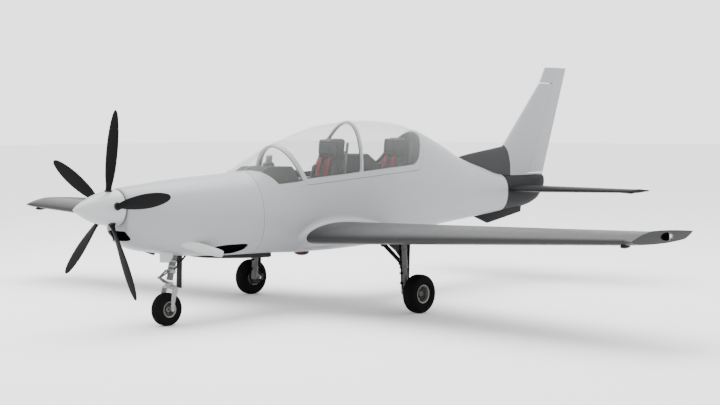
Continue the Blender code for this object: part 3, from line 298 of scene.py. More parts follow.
# Joins rings of points with faces and returns their vertices.
def bridgeRings(shape, rings, closed=True):
    rows = [[shape.verts.new(p) for p in ring] for ring in rings]
    count = len(rows[0])
    span = range(count if closed else count - 1)
    for row, following in zip(rows, rows[1:]):
        for i in span:
            j = (i + 1) % count
            shape.faces.new((row[i], row[j], following[j], following[i]))
    return rows


# A closed skin over rings of points, with a face over each end.
def loft(name, rings, angle=32):
    def build(shape):
        rows = bridgeRings(shape, rings)
        shape.faces.new(rows[0][::-1])
        shape.faces.new(rows[-1])
        bmesh.ops.remove_doubles(shape, verts=shape.verts, dist=1e-6)
    return meshFrom(name, build, angle)


# Prisms from an outline in side view and in plan.
def sidePrism(name, outline, yFrom=-1.0, yTo=1.0):
    return loose(name, loft(name, [[at(x, y, z) for x, z in outline] for y in (yFrom, yTo)]))


def planPrism(name, outline, zFrom, zTo):
    return loose(name, loft(name, [[at(x, y, z) for x, y in outline] for z in (zFrom, zTo)]))


# A turned form: radius and distance along the axis.
def turn(name, profile, centre, axis, segments=64, closed=False, angle=32):
    spin = Vector(axis).to_track_quat("Z", "Y").to_matrix()
    rings = []
    for k in range(segments):
        a = 2 * math.pi * k / segments
        rings.append([centre + spin @ Vector((r * math.cos(a), r * math.sin(a), h)) for r, h in profile])

    def build(shape):
        bridgeRings(shape, rings + rings[:1], closed)
        bmesh.ops.remove_doubles(shape, verts=shape.verts, dist=1e-6)
    return meshFrom(name, build, angle)


def rod(name, start, end, radius, endRadius=None, segments=32, ease=0.12):
    start, end = Vector(start), Vector(end)
    length = (end - start).length
    last = radius if endRadius is None else endRadius
    soft = min(radius, last) * ease
    profile = [(0, 0), (radius - soft, 0), (radius, soft), (last, length - soft), (last - soft, length),
               (0, length)]
    return turn(name, profile, start, end - start, segments)


# A box with softened edges, as a mesh in the frame.
def softBox(name, low, high, ease=0.006, steps=3):
    low, high = Vector(low), Vector(high)

    def build(shape):
        bmesh.ops.create_cube(shape, size=1)
        bmesh.ops.scale(shape, vec=high - low, verts=shape.verts)
        bmesh.ops.translate(shape, vec=(low + high) / 2, verts=shape.verts)
        bmesh.ops.bevel(shape, geom=shape.edges[:], offset=ease, segments=steps, affect="EDGES", profile=0.5)
    return meshFrom(name, build)


# A hose along a smooth curve through points.
def tube(name, points, radius, finish):
    line = bpy.data.curves.new(name, "CURVE")
    line.dimensions = "3D"
    line.bevel_depth = radius
    line.bevel_resolution = 4
    line.use_fill_caps = True
    run = line.splines.new("BEZIER")
    run.bezier_points.add(len(points) - 1)
    for handle, point in zip(run.bezier_points, points):
        handle.co = point
        handle.handle_left_type = handle.handle_right_type = "AUTO"
    drawn = loose(f"{name}Line", line)
    tree = bpy.context.evaluated_depsgraph_get()
    mesh = smoothMesh(bpy.data.meshes.new_from_object(drawn.evaluated_get(tree)))
    bpy.data.objects.remove(drawn)
    return piece(name, mesh, finish)


# Several meshes as one piece.
def joined(name, meshes, finish, body="airframe", replaces=()):
    whole = bpy.data.meshes.new(name)
    shape = bmesh.new()
    for mesh in meshes:
        shape.from_mesh(mesh)
    shape.to_mesh(whole)
    shape.free()
    return piece(name, smoothMesh(whole), finish, body, replaces)


# Rounds the corners of an outline; radii has one value for each corner.
def rounded(outline, radii, steps=6):
    result = []
    count = len(outline)
    for k, (corner, radius) in enumerate(zip(outline, radii)):
        here = Vector(corner)
        before, after = Vector(outline[k - 1]), Vector(outline[(k + 1) % count])
        if radius <= 0:
            result.append(tuple(here))
            continue
        radius = min(radius, 0.45 * (before - here).length, 0.45 * (after - here).length)
        start = here + (before - here).normalized() * radius
        end = here + (after - here).normalized() * radius
        for step in range(steps + 1):
            t = step / steps
            result.append(tuple(start * (1 - t) ** 2 + here * 2 * t * (1 - t) + end * t * t))
    return result


# Hull lines: station, top, bottom, half width, height of the widest point, fullness over and under it.
hull = {
    "lines": [
        (0.13, 1.600, 0.995, 0.215, 1.385, 2.0, 2.4),
        (0.35, 1.622, 0.905, 0.305, 1.335, 2.1, 2.5),
        (0.62, 1.646, 0.855, 0.370, 1.285, 2.2, 2.6),
        (1.00, 1.680, 0.795, 0.425, 1.240, 2.2, 2.6),
        (1.50, 1.708, 0.762, 0.458, 1.215, 2.2, 2.6),
        (1.88, 1.732, 0.748, 0.470, 1.200, 2.2, 2.6),
        (2.05, 1.830, 0.744, 0.474, 1.200, 2.1, 2.6),
        (2.33, 1.965, 0.736, 0.478, 1.200, 2.0, 2.6),
        (2.85, 2.158, 0.710, 0.480, 1.200, 2.0, 2.6),
        (3.39, 2.292, 0.702, 0.480, 1.200, 2.0, 2.6),
        (4.15, 2.352, 0.716, 0.476, 1.205, 2.0, 2.6),
        (4.74, 2.318, 0.780, 0.458, 1.215, 2.0, 2.5),
        (5.16, 2.228, 0.836, 0.432, 1.230, 2.0, 2.4),
        (5.60, 2.072, 0.896, 0.390, 1.250, 2.0, 2.3),
        (6.19, 1.820, 0.943, 0.312, 1.280, 2.0, 2.3),
        (6.70, 1.670, 0.980, 0.250, 1.300, 2.1, 2.2),
        (7.15, 1.560, 1.018, 0.195, 1.315, 2.2, 2.2),
        (7.76, 1.540, 1.066, 0.128, 1.330, 2.4, 2.1),
        (8.10, 1.532, 1.155, 0.088, 1.365, 2.4, 2.0),
        (8.27, 1.520, 1.315, 0.052, 1.420, 2.4, 2.0),
    ],
    "front": 0.13, "cowlRear": 1.94, "tailJoint": 7.15, "tailEnd": 8.27,
    "wall": 0.018, "cowlWall": 0.012, "frameWall": 0.026, "glassInset": 0.003, "glassWall": 0.008,
    "panelGap": 0.005, "around": 112, "step": 0.045,
}


# Value of one column at a place in the first column, on a smooth curve that never overshoots.
def curveValue(rows, station, column=1):
    xs = [row[0] for row in rows]
    ys = [row[column] for row in rows]
    last = len(xs) - 1
    station = min(max(station, xs[0]), xs[last])
    i = min(max(k for k in range(last + 1) if xs[k] <= station), last - 1)
    slopes = [(d - c) / (b - a) for a, b, c, d in zip(xs, xs[1:], ys, ys[1:])]

    def tangent(k):
        if k in (0, last):
            return slopes[min(k, last - 1)]
        before, after = slopes[k - 1], slopes[k]
        return 0.0 if before * after <= 0 else 2 * before * after / (before + after)

    run = xs[i + 1] - xs[i]
    t = (station - xs[i]) / run
    return (ys[i] * (2 * t**3 - 3 * t**2 + 1) + ys[i + 1] * (3 * t**2 - 2 * t**3)
            + run * (tangent(i) * (t**3 - 2 * t**2 + t) + tangent(i + 1) * (t**3 - t**2)))


def hullValues(station):
    return [curveValue(hull["lines"], station, column) for column in range(1, 7)]


def hullPoint(values, station, angle, inset=0.0):
    top, bottom, halfWidth, waist, upper, lower = values
    c, s = math.cos(angle), math.sin(angle)
    power = upper if s >= 0 else lower
    height = (top - waist if s >= 0 else waist - bottom) - inset
    y = (halfWidth - inset) * math.copysign(abs(c) ** (2 / power), c)
    z = waist + height * math.copysign(abs(s) ** (2 / power), s)
    return at(station, y, z)


def hullSide(station, height):
    top, bottom, halfWidth, waist, upper, lower = hullValues(station)
    reach, power = (top - waist, upper) if height > waist else (waist - bottom, lower)
    return halfWidth * (1 - min(1.0, abs(height - waist) / reach) ** power) ** (1 / power)


def stationsBetween(start, end, step=None):
    count = max(2, round((end - start) / (step or hull["step"])))
    return [lerp(start, end, k / count) for k in range(count + 1)]


# Hollow skin between two stations, round the whole hull or over an arc of it.
def hullSkin(name, start, end, wall, inset=0.0, arc=None, lip=0.0, closeFront=False):
    count = hull["around"] if arc is None else round(hull["around"] * (arc[1] - arc[0]) / 360)
    if arc is None:
        angles = [2 * math.pi * k / count for k in range(count)]
    else:
        angles = [math.radians(lerp(arc[0], arc[1], k / count)) for k in range(count + 1)]
    stations = stationsBetween(start, end)
    if lip:
        stations = [start + lip * t for t in (0, 0.05, 0.2, 0.5, 1)] + [x
                for x in stations if x > start + lip * 1.5]
    outer = []
    for station in stations:
        values = hullValues(station)
        t = max(0.0, 1 - (station - start) / lip) if lip else 0.0
        outer.append([hullPoint(values, station, a, inset + lip * (1 - math.sqrt(1 - t * t)))
                      for a in angles])
    if closeFront:
        stations = [start + wall] + [x for x in stations if x > start + wall * 1.5]
    inner = [[hullPoint(hullValues(x), x, a, inset + wall) for a in angles] for x in stations]
    closed = arc is None

    def build(shape):
        skins = [bridgeRings(shape, rings, closed) for rings in (outer, inner)]
        span = len(angles) if closed else len(angles) - 1
        for end in (0, -1):
            outside, inside = skins[0][end], skins[1][end]
            if end == 0 and closeFront:
                shape.faces.new(outside)
                shape.faces.new(inside)
                continue
            for i in range(span):
                j = (i + 1) % len(angles)
                shape.faces.new((outside[i], outside[j], inside[j], inside[i]))
        if not closed:
            for side in (0, -1):
                for a, b, c, d in zip(skins[0], skins[0][1:], skins[1], skins[1][1:]):
                    shape.faces.new((a[side], b[side], d[side], c[side]))
    return meshFrom(name, build, 34)


# The hull between two stations as one solid, for cutting.
def solidHull(name, start, end, inset=0.0):
    rings = []
    for station in stationsBetween(start, end, 0.08):
        values = hullValues(station)
        rings.append([hullPoint(values, station, 2 * math.pi * k / 64, inset) for k in range(64)])
    return loose(name, loft(name, rings))


# Lines of the glasshouse in side view.
canopy = {
    "sill": (2.228, 1.533, 0.059), "glass": (2.666, 1.627, 0.0618),
    "arch": (2.670, 1.630, -0.325), "bow": (3.710, 1.690, 0.277), "rear": (4.870, 1.760, 0.75),
    "windshieldFoot": 1.885, "windshieldCurve": 2.0,
    "archFrame": 0.024, "bowFrame": 0.032, "rearFrame": 0.055, "gap": 0.005, "roof": 2.6,
}


# Height of a line at a station, and station of a leaning line at a height.
def heightLine(name, x, offset=0.0):
    station, height, slope = canopy[name]
    return height + slope * (x - station) + offset


def leaning(name, z, offset=0.0):
    station, height, lean = canopy[name]
    return station + lean * (z - height) + offset


# Outline between two leaning lines, from a floor line up to the roof, with its lower corners rounded.
def sideOutline(front, rear, floor, radii=(0, 0)):
    corners = []
    for line in (front, rear):
        z = 1.6
        for _ in range(8):
            z = floor(line(z))
        corners.append((line(z), z))
    roof = canopy["roof"]
    return rounded([corners[0], corners[1], (rear(roof), roof), (front(roof), roof)], (*radii, 0, 0))


# Cutter over the glasshouse whose front edge is the windshield's curved foot, seen from above.
def windshieldPlan(name, offset, rear):
    reach, count = 0.60, 24
    curve = []
    for k in range(count + 1):
        y = lerp(-reach, reach, k / count)
        curve.append((canopy["windshieldFoot"] + offset + canopy["windshieldCurve"] * y * y, y))
    return planPrism(name, curve + [(rear, reach), (rear, -reach)], 1.2, 2.8)


# Cutter for everything that the glasshouse takes the place of.
def openingTool():
    gap = canopy["gap"]
    outline = sideOutline(lambda z: 1.70, lambda z: leaning("rear", z, canopy["rearFrame"] + gap),
                          lambda x: heightLine("sill", x, -gap))
    tool = sidePrism("openingTool", outline, -0.8, 0.8)
    return carve(tool, ("INTERSECT", windshieldPlan("openingPlan", -0.002, 6.0)))


# Cowling with its chin inlet and side outlets.
cowlParts = {
    "inlet": dict(low=1.020, high=1.130, half=0.17, corner=0.05),
    "outlet": [(1.15, 0.872), (1.25, 0.800), (1.46, 0.785), (1.64, 0.790), (1.75, 0.845), (1.765, 0.895),
               (1.70, 0.908), (1.43, 0.911), (1.20, 0.893)],
    "outletRadii": [0.02, 0.05, 0.05, 0.05, 0.04, 0.02, 0.02, 0.05, 0.02], "outletSide": (0.18, 0.60),
    "mouth": (0.0, 0.30), "shaftHole": 0.135, "shaft": (0.05, 0.25), "lip": 0.022, "coreInset": 0.03,
}


def makeCowling():
    inlet = cowlParts["inlet"]
    mesh = hullSkin("cowlingSkin", hull["front"], hull["cowlRear"] - hull["panelGap"] / 2, hull["cowlWall"],
                    lip=cowlParts["lip"], closeFront=True)
    skin = loose("cowlingSkin", mesh)
    slot = rounded([(-inlet["half"], inlet["low"]), (inlet["half"], inlet["low"]),
                    (inlet["half"], inlet["high"]), (-inlet["half"], inlet["high"])], [inlet["corner"]] * 4)
    mouth = loose("mouth", loft("mouth", [[at(x, y, z) for y, z in slot] for x in cowlParts["mouth"]]))
    low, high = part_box("spinner")
    shaft = Vector((0, 0, (low.z + high.z) / 2))
    hole = loose("hole", rod("hole", *[shaft + at(x, 0, 0) for x in cowlParts["shaft"]],
                             cowlParts["shaftHole"],
                             ease=0))
    outlet = rounded(cowlParts["outlet"], cowlParts["outletRadii"])
    outlets = [sidePrism(f"outlet{side}", outlet, *spanOn(side, *cowlParts["outletSide"]))
               for side in (-1, 1)]
    carve(skin, ("DIFFERENCE", mouth), ("DIFFERENCE", hole), ("DIFFERENCE", openingTool()),
          *[("DIFFERENCE", tool) for tool in outlets])
    finishPiece(skin, "lightPaint", replaces="cowling")
    # A solid just inside the cowling, in near black: painted shade for the cowling's inside, seen through its
    # inlet, outlets and panel gap.
    shadeCore = solidHull("cowlingShadeCore", hull["front"] + 0.05, hull["cowlRear"] - 0.02, cowlParts["coreInset"])
    carve(shadeCore, ("DIFFERENCE", openingTool()))
    finishPiece(shadeCore, "blackAndPaintedShade", replaces="engine_block")


def makeFuselage():
    mesh = hullSkin("fuselageSkin", hull["cowlRear"] + hull["panelGap"] / 2, hull["tailJoint"], hull["wall"])
    skin = loose("fuselageSkin", mesh)
    carve(skin, ("DIFFERENCE", openingTool()))
    finishPiece(skin, "lightPaint", replaces="fuselage")
    rings = []
    for station in stationsBetween(hull["tailJoint"] + 0.002, hull["tailEnd"]):
        values = hullValues(station)
        rings.append([hullPoint(values, station, 2 * math.pi * k / 96) for k in range(96)])
    cone = loose("tailConeSkin", loft("tailConeSkin", rings))
    finishPiece(cone, "tailPaint", replaces="tail_cone")
    firewall = []
    for x in (hull["cowlRear"] + 0.004, hull["cowlRear"] + 0.016):
        values = hullValues(x)
        firewall.append([hullPoint(values, x, 2 * math.pi * k / 64, hull["wall"] + 0.001) for k in range(64)])
    wall = loose("firewall", loft("firewall", firewall))
    carve(wall, ("DIFFERENCE", openingTool()))
    finishPiece(wall, "lining")


makeCowling()
makeFuselage()
print("hull skins made")


# Windshield, canopy frame and panes.
def frameSkin(name, inset, wall):
    return loose(name, hullSkin(name, 1.84, 5.62, wall, inset=inset, arc=(4, 176)))


def makeGlasshouse():
    half, wall = canopy["gap"] / 2, hull["frameWall"]
    corner = (0, 0.02)

    def fixedEdge(z):
        return leaning("arch", z, -half)

    def openEdge(z):
        return leaning("arch", z, half)

    frame = frameSkin("windshieldFrame", 0.0, wall)
    window = sidePrism("w1", sideOutline(lambda z: 1.70, lambda z: fixedEdge(z) - canopy["archFrame"],
                                         lambda x: heightLine("glass", x, -0.02), corner))
    carve(window, ("INTERSECT", windshieldPlan("w1p", 0.030, 4.0)))
    body = sidePrism("b1", sideOutline(lambda z: 1.70, fixedEdge, lambda x: heightLine("sill", x, -0.004)))
    carve(frame, ("INTERSECT", body), ("INTERSECT", windshieldPlan("b1p", 0.001, 4.0)),
          ("DIFFERENCE", window))
    finishPiece(frame, "lightPaint", replaces="windshield_frame")
    pane = frameSkin("windshieldGlass", hull["glassInset"], hull["glassWall"])
    paneSide = sidePrism("p1", sideOutline(lambda z: 1.70,
                                           lambda z: fixedEdge(z) - canopy["archFrame"] - 0.0005,
                                           lambda x: heightLine("glass", x, -0.0195), corner))
    carve(pane, ("INTERSECT", paneSide), ("INTERSECT", windshieldPlan("p1p", 0.0305, 4.0)))
    finishPiece(pane, "glass", replaces="windshield_glass")

    opening = frameSkin("canopyFrame", 0.0, wall)
    outline = sideOutline(openEdge, lambda z: leaning("rear", z, canopy["rearFrame"]),
                          lambda x: heightLine("sill", x))
    carve(opening, ("INTERSECT", sidePrism("b2", outline)))
    windows = {
        "Front": (lambda z: openEdge(z) + canopy["bowFrame"] + 0.012,
                  lambda z: leaning("bow", z, -canopy["bowFrame"] / 2), (0.02, 0.03)),
        "Rear": (lambda z: leaning("bow", z, canopy["bowFrame"] / 2), lambda z: leaning("rear", z),
                 (0.03, 0.13)),
    }
    for end, (front, rear, radii) in windows.items():
        side = sideOutline(front, rear, lambda x: heightLine("glass", x), radii)
        carve(opening, ("DIFFERENCE", sidePrism("w2", side)))
        pane = frameSkin(f"canopyGlass{end}", hull["glassInset"], hull["glassWall"])
        inside = sideOutline(lambda z: front(z) + 0.0005, lambda z: rear(z) - 0.0005,
                             lambda x: heightLine("glass", x, 0.0005), radii)
        carve(pane, ("INTERSECT", sidePrism("p2", inside)))
        finishPiece(pane, "glass", "canopy", replaces=f"canopy_glass_{end.lower()}")
    finishPiece(opening, "lightPaint", "canopy", replaces="canopy_frame")
    return windows


glassWindows = makeGlasshouse()
print("glasshouse made")


# Sections and lifting surfaces.
def halfThickness(c):
    return 5 * (0.2969 * math.sqrt(c) - 0.1260 * c - 0.3516 * c**2 + 0.2843 * c**3 - 0.1036 * c**4)


def camberLine(c, camber):
    peak = 0.4
    if c < peak:
        return camber * (2 * peak * c - c * c) / peak**2
    return camber * (1 - 2 * peak + 2 * peak * c - c * c) / (1 - peak) ** 2


# Points (chord fraction, height over chord) from the upper trailing edge, round the nose, to the lower one.
def sectionPoints(thickness, camber, start=0.0, count=30, edge=0.0022):
    fractions = [start + (1 - start) * (0.5 - 0.5 * math.cos(math.pi * k / count)) for k in range(count + 1)]
    if start > 0:
        fractions = [start + (1 - start) * k / count for k in range(count + 1)]
    upper, lower = [], []
    for c in fractions:
        middle = camberLine(c, camber)
        half = max(thickness * halfThickness(c), edge if c > 0.5 else 0.0)
        upper.append((c, middle + half))
        lower.append((c, middle - half))
    return upper[::-1], lower[1 if start == 0 else 0:]


wingForm = dict(span=(0.30, 5.105), lead=(2.590, 2.506), trail=(4.310, 3.560), rise=(0.908, 1.129),
                thickness=(0.150, 0.120), camber=(0.028, 0.018), upright=False, hinge=0.76,
                joint=5.00, flap=(0.62, 2.70), aileron=(2.80, 4.86))
# The wing tip's face: its plan, and its outline as chord fraction and height.
tipFace = {
    "lead": (2.470, 5.110), "trail": (3.600, 5.160), "edge": 0.004,
    "over": [(0.0, 1.135), (0.06, 1.158), (0.20, 1.199), (0.36, 1.221), (0.60, 1.214), (1.0, 1.184)],
    "under": [(0.0, 1.135), (0.06, 1.106), (0.22, 1.088), (0.46, 1.083), (0.84, 1.102), (0.97, 1.155),
              (1.0, 1.180)],
    "lamp": dict(centre=(3.117, 5.137, 1.151), size=(0.122, 0.024, 0.043)),
    "blister": dict(centre=(2.617, 4.95, 1.072), size=(0.088, 0.030, 0.022)),
}
rudderForm = dict(span=(1.556, 3.15), lead=(7.385, 8.350), trail=(8.300, 8.915), rise=(0, 0),
                  thickness=(0.115, 0.115), camber=(0, 0), upright=True, hinge=0.53, top=2.905)
finForm = dict(rudderForm, lead=(6.860, 8.440), thickness=(0.097, 0.124), boundary=[
    (7.00, 2.30), (7.284, 1.985), (7.335, 1.90), (7.362, 1.80), (7.378, 1.70), (7.383, 1.40), (8.6, 1.40),
    (8.9, 3.3),
    (7.0, 3.3)])
tailForm = dict(span=(0.06, 1.93), lead=(7.170, 7.700), trail=(8.250, 8.220), rise=(1.335, 1.335),
                thickness=(0.095, 0.095), camber=(0, 0), upright=False, hingeStation=7.88, root=0.135)


# A form's own value at a place along its span, and its points there.
def mix(form, key, s):
    low, high = form["span"]
    return lerp(*form[key], (s - low) / (high - low))


def spot(form, s, x, height, side=1):
    if form["upright"]:
        return at(x, height, s)
    return at(x, side * s, mix(form, "rise", s) + height)


def formRing(form, s, side=1, start=0.0, count=30):
    upper, lower = sectionPoints(mix(form, "thickness", s), mix(form, "camber", s), start, count)
    lead, chord = mix(form, "lead", s), mix(form, "trail", s) - mix(form, "lead", s)
    return [spot(form, s, lead + chord * c, chord * h, side) for c, h in upper + lower]


def hingeAt(form, s):
    lead, chord = mix(form, "lead", s), mix(form, "trail", s) - mix(form, "lead", s)
    c = form["hinge"] if "hinge" in form else (form["hingeStation"] - lead) / chord
    half = mix(form, "thickness", s) * halfThickness(c) * chord
    return c, lead + c * chord, camberLine(c, mix(form, "camber", s)) * chord, half


# Section of a flap, aileron, rudder or elevator, round its hinge line; grow makes the room that it moves in.
def movingRing(form, s, side=1, grow=0.0, lowFront=False, noseCount=14, tailCount=10):
    c, x, middle, half = hingeAt(form, s)
    lead, chord = mix(form, "lead", s), mix(form, "trail", s) - mix(form, "lead", s)
    radius = half + grow
    points = []
    for k in range(noseCount + 1):
        a = math.pi / 2 + math.pi * k / noseCount
        px, ph = x + radius * math.cos(a), middle + radius * math.sin(a)
        if lowFront and a > math.pi:
            px, ph = x - radius, middle - (radius + 0.10) * (a - math.pi) / (math.pi / 2)
        points.append((px, ph))
    if grow > 0:
        points += [(x + chord, points[-1][1]), (x + chord, points[0][1])]
    else:
        upper, lower = sectionPoints(mix(form, "thickness", s), mix(form, "camber", s), c, tailCount)
        points += [(lead + chord * f, chord * h) for f, h in lower[1:] + upper[:-1]]
    return [spot(form, s, px, ph, side) for px, ph in points]


def roomTool(form, span, side=1, lowFront=False, gap=0.0055):
    ends = (span[0] - gap, span[1] + gap)
    return loose("room", loft("room", [movingRing(form, s, side, gap, lowFront) for s in ends]))


def tipRing(side, count=30):
    over, under = sectionPoints(wingForm["thickness"][1], wingForm["camber"][1], 0.0, count)
    (leadX, leadY), (trailX, trailY) = tipFace["lead"], tipFace["trail"]
    points = []
    for line, side_ in (("over", over), ("under", under)):
        for c, _ in side_:
            points.append(at(lerp(leadX, trailX, c), side * lerp(leadY, trailY, c),
                             curveValue(tipFace[line], c)))
    return points


# A rounded lump, as a ball stretched along the frame's axes.
def lump(name, centre, size, segments=32):
    def build(shape):
        bmesh.ops.create_uvsphere(shape, u_segments=segments, v_segments=segments // 2, radius=1)
        bmesh.ops.scale(shape, vec=Vector(size), verts=shape.verts)
        bmesh.ops.translate(shape, vec=centre, verts=shape.verts)
    return meshFrom(name, build, 60)


def makeWingTip(side, word):
    low, high = formRing(wingForm, wingForm["joint"] + 0.001, side), tipRing(side)
    middle = sum(high, Vector()) / len(high)
    rings = [[a.lerp(b, t) for a, b in zip(low, high)] for t in (0, 0.25, 0.5, 0.75, 0.96)]
    for shrink, out in ((1.0, 0.6), (0.985, 1.0), (0.96, 1.15)):
        rings.append([middle + (p - middle) * shrink + Vector((0, side * tipFace["edge"] * (out - 1), 0))
                      for p in high])
    piece(f"wingTipSkin_{word}", loft(f"wingTipSkin_{word}", rings), "darkPaint", replaces=f"wing_tip_{word}")
    lamp = tipFace["lamp"]
    x, y, z = lamp["centre"]
    centre = at(x, side * y, z)
    for part, finish, low, high in (("front", "blackAndPaintedShade", -1, 0), ("rear", "glass", 0, 1)):
        half = loose(f"tipLamp_{part}_{word}", lump("tipLamp", centre, lamp["size"]))
        reach = lamp["size"][0] * 1.1
        slab = [(x + low * reach, z - 0.1), (x + high * reach, z - 0.1), (x + high * reach, z + 0.1),
                (x + low * reach, z + 0.1)]
        carve(half, ("INTERSECT", sidePrism("lampHalf", slab,
                                            *sorted((side * (y - 0.01), side * (y + 0.1))))))
        finishPiece(half, finish)
    piece(f"tipBulb_{word}", lump("tipBulb", centre + Vector((0.05, side * 0.004, 0)), (0.030, 0.010, 0.022),
                                  16), "lamp")
    x, y, z = tipFace["blister"]["centre"]
    piece(f"wingBlister_{word}", lump("wingBlister", at(x, side * y, z), tipFace["blister"]["size"]),
          "gearDark")


def makeWing(side, word):
    form = wingForm
    skin = loose(f"wingSkin_{word}", loft(f"wingSkin_{word}",
                                          [formRing(form, s, side) for s in (0.44, form["joint"])]))
    carve(skin, ("DIFFERENCE", roomTool(form, form["flap"], side, True)),
          ("DIFFERENCE", roomTool(form, form["aileron"], side)))
    finishPiece(skin, "darkPaint", replaces=f"wing_{word}")
    for kind in ("flap", "aileron"):
        mesh = loft(f"{kind}Skin_{word}", [movingRing(form, s, side) for s in form[kind]])
        piece(f"{kind}Skin_{word}", mesh, "darkPaint", f"{kind}_{word}", replaces=f"{kind}_{word}")
    makeWingTip(side, word)


for side, word in ((-1, "left"), (1, "right")):
    makeWing(side, word)
print("wings made")


def makeFin():
    form = rudderForm
    skin = loose("finSkin", loft("finSkin", [formRing(finForm, s) for s in (1.50, form["top"])]))
    carve(skin, ("INTERSECT", sidePrism("finBoundary", finForm["boundary"], -0.3, 0.3)),
          ("DIFFERENCE", roomTool(form, (form["span"][0], form["top"] + 0.3))))
    finishPiece(skin, "lightPaint", replaces="vertical_fin")
    base, top = form["span"][0] + 0.006, form["top"] + 0.012
    lower = loft("rudderLow", [movingRing(form, s) for s in (base, top)])
    horn = loft("rudderHorn", [formRing(form, s) for s in (top + 0.0005, 3.05, 3.12, 3.142, form["span"][1])])
    joined("rudderSkin", [lower, horn], "lightPaint", "rudder", replaces="rudder")


def makeTailplane():
    form = tailForm
    for side, word in ((-1, "left"), (1, "right")):
        skin = loose(f"stabilizerSkin_{word}", loft("stab", [formRing(form, s, side) for s in form["span"]]))
        carve(skin, ("DIFFERENCE", roomTool(form, (0.01, form["span"][1] + 0.02), side)))
        finishPiece(skin, "tailPaint", replaces=f"stabilizer_{word}")
    halves = [loft("elev", [movingRing(form, s, side) for s in (form["root"], form["span"][1])])
              for side in (-1, 1)]
    hinge = at(form["hingeStation"], 0, form["rise"][0])
    reach = Vector((0, form["root"], 0))
    joined("elevatorSkin", [*halves, rod("elevTube", hinge - reach, hinge + reach, 0.0195)], "tailPaint",
           "elevator",
           replaces="elevator")


makeFin()
makeTailplane()
print("tail made")


# Propeller.
propeller = {
    "tip": -0.458, "base": 0.105, "radius": 0.205, "height": 1.3845, "reach": 1.090, "blades": 5,
    "first": -9.4, "rootRadius": 0.034, "rootPitch": 28, "socket": 0.046, "socketReach": (0.11, 0.30),
    "backPlate": [(0, 0.083), (0.175, 0.083), (0.175, 0.127), (0.05, 0.127), (0.05, 0.30), (0, 0.30)],
    "boot": [(0.0, 0.14), (0.043, 0.14), (0.044, 0.19), (0.041, 0.202), (0.0, 0.204)],
    "form": [(0.178, 0.068, 1.00, 28), (0.215, 0.070, 0.70, 27), (0.26, 0.086, 0.38, 25),
             (0.32, 0.112, 0.24, 22),
             (0.42, 0.138, 0.15, 18), (0.55, 0.156, 0.11, 14), (0.66, 0.160, 0.09, 11),
             (0.78, 0.146, 0.075, 9),
             (0.88, 0.118, 0.07, 7), (0.95, 0.084, 0.07, 6), (0.985, 0.052, 0.075, 5), (1.0, 0.020, 0.12, 5)],
}


def makeSpinner():
    profile = []
    for k in range(41):
        t = k / 40
        u = 0.35 * t * t + 0.65 * t
        profile.append((propeller["radius"] * (1 - (1 - u) ** 1.75) ** 0.88,
                        lerp(propeller["tip"], propeller["base"], u)))
    rim = propeller["radius"]
    profile += [(rim - 0.006, propeller["base"] + 0.003), (rim - 0.02, propeller["base"] + 0.003),
                (rim - 0.02, propeller["base"] - 0.02), (0, propeller["base"] - 0.02)]
    centre = at(0, 0, propeller["height"])
    cone = loose("spinnerCone", turn("spinnerCone", profile, centre, (1, 0, 0), 96))
    sockets = []
    for k in range(propeller["blades"]):
        a = math.radians(propeller["first"] + 360 * k / propeller["blades"])
        out = Vector((0, math.sin(a), math.cos(a)))
        sockets.append(loose("socket", rod("socket", *[centre + out * r for r in propeller["socketReach"]],
                                           propeller["socket"], ease=0)))
    carve(cone, *[("DIFFERENCE", tool) for tool in sockets])
    finishPiece(cone, "spinnerPaint", "propeller", replaces="spinner")
    piece("backPlate", turn("backPlate", propeller["backPlate"], centre, (1, 0, 0), 64), "blackAndPaintedShade",
          "propeller")


def bladeRing(radius, chord, thickness, pitch, count=28):
    turned = math.radians(pitch)
    ring = []
    for k in range(count):
        a = 2 * math.pi * k / count
        along, across = chord / 2 * math.cos(a), chord * thickness / 2 * math.sin(a)
        ring.append(Vector((along * math.sin(turned) + across * math.cos(turned),
                            -along * math.cos(turned) + across * math.sin(turned), radius)))
    return ring


# In-between values of the blade's form, on a smooth curve through its stations.
def bladeForm(r):
    rows = propeller["form"]
    i = max(k for k in range(len(rows) - 1) if rows[k][0] <= r or k == 0)
    t = (r - rows[i][0]) / (rows[i + 1][0] - rows[i][0])
    before, after = rows[max(i - 1, 0)], rows[min(i + 2, len(rows) - 1)]
    values = []
    for column in (1, 2, 3):
        p0, p1, p2, p3 = before[column], rows[i][column], rows[i + 1][column], after[column]
        values.append(0.5 * (2 * p1 + (p2 - p0) * t + (2 * p0 - 5 * p1 + 4 * p2 - p3) * t * t
                             + (3 * p1 - p0 - 3 * p2 + p3) * t**3))
    return values


def makeBlades():
    radii = [lerp(0.178, 0.96, k / 36) for k in range(37)] + [0.972, 0.982, 0.990, 0.996, 1.0]
    rings = [bladeRing(0.112, 2 * propeller["rootRadius"], 1.0, propeller["rootPitch"])]
    rings += [bladeRing(r * propeller["reach"], *bladeForm(r)) for r in radii]
    shape = loft("bladeShape", rings)
    collar = turn("bootShape", propeller["boot"], Vector((0, 0, 0)), (0, 0, 1), 40)
    centre = at(0, 0, propeller["height"])
    for k in range(propeller["blades"]):
        a = math.radians(propeller["first"] + 360 * k / propeller["blades"])
        place = Matrix.Translation(centre) @ Matrix.Rotation(-a, 4, "X")
        for name, source, finish in ((f"bladeSkin_{k + 1}", shape, "bladeBlack"),
                                     (f"bladeBoot_{k + 1}", collar, "knob")):
            mesh = source.copy()
            mesh.transform(place)
            piece(name, mesh, finish, "propeller", replaces=f"blade_{k + 1}" if source is shape else ())


makeSpinner()
makeBlades()
print("propeller made")


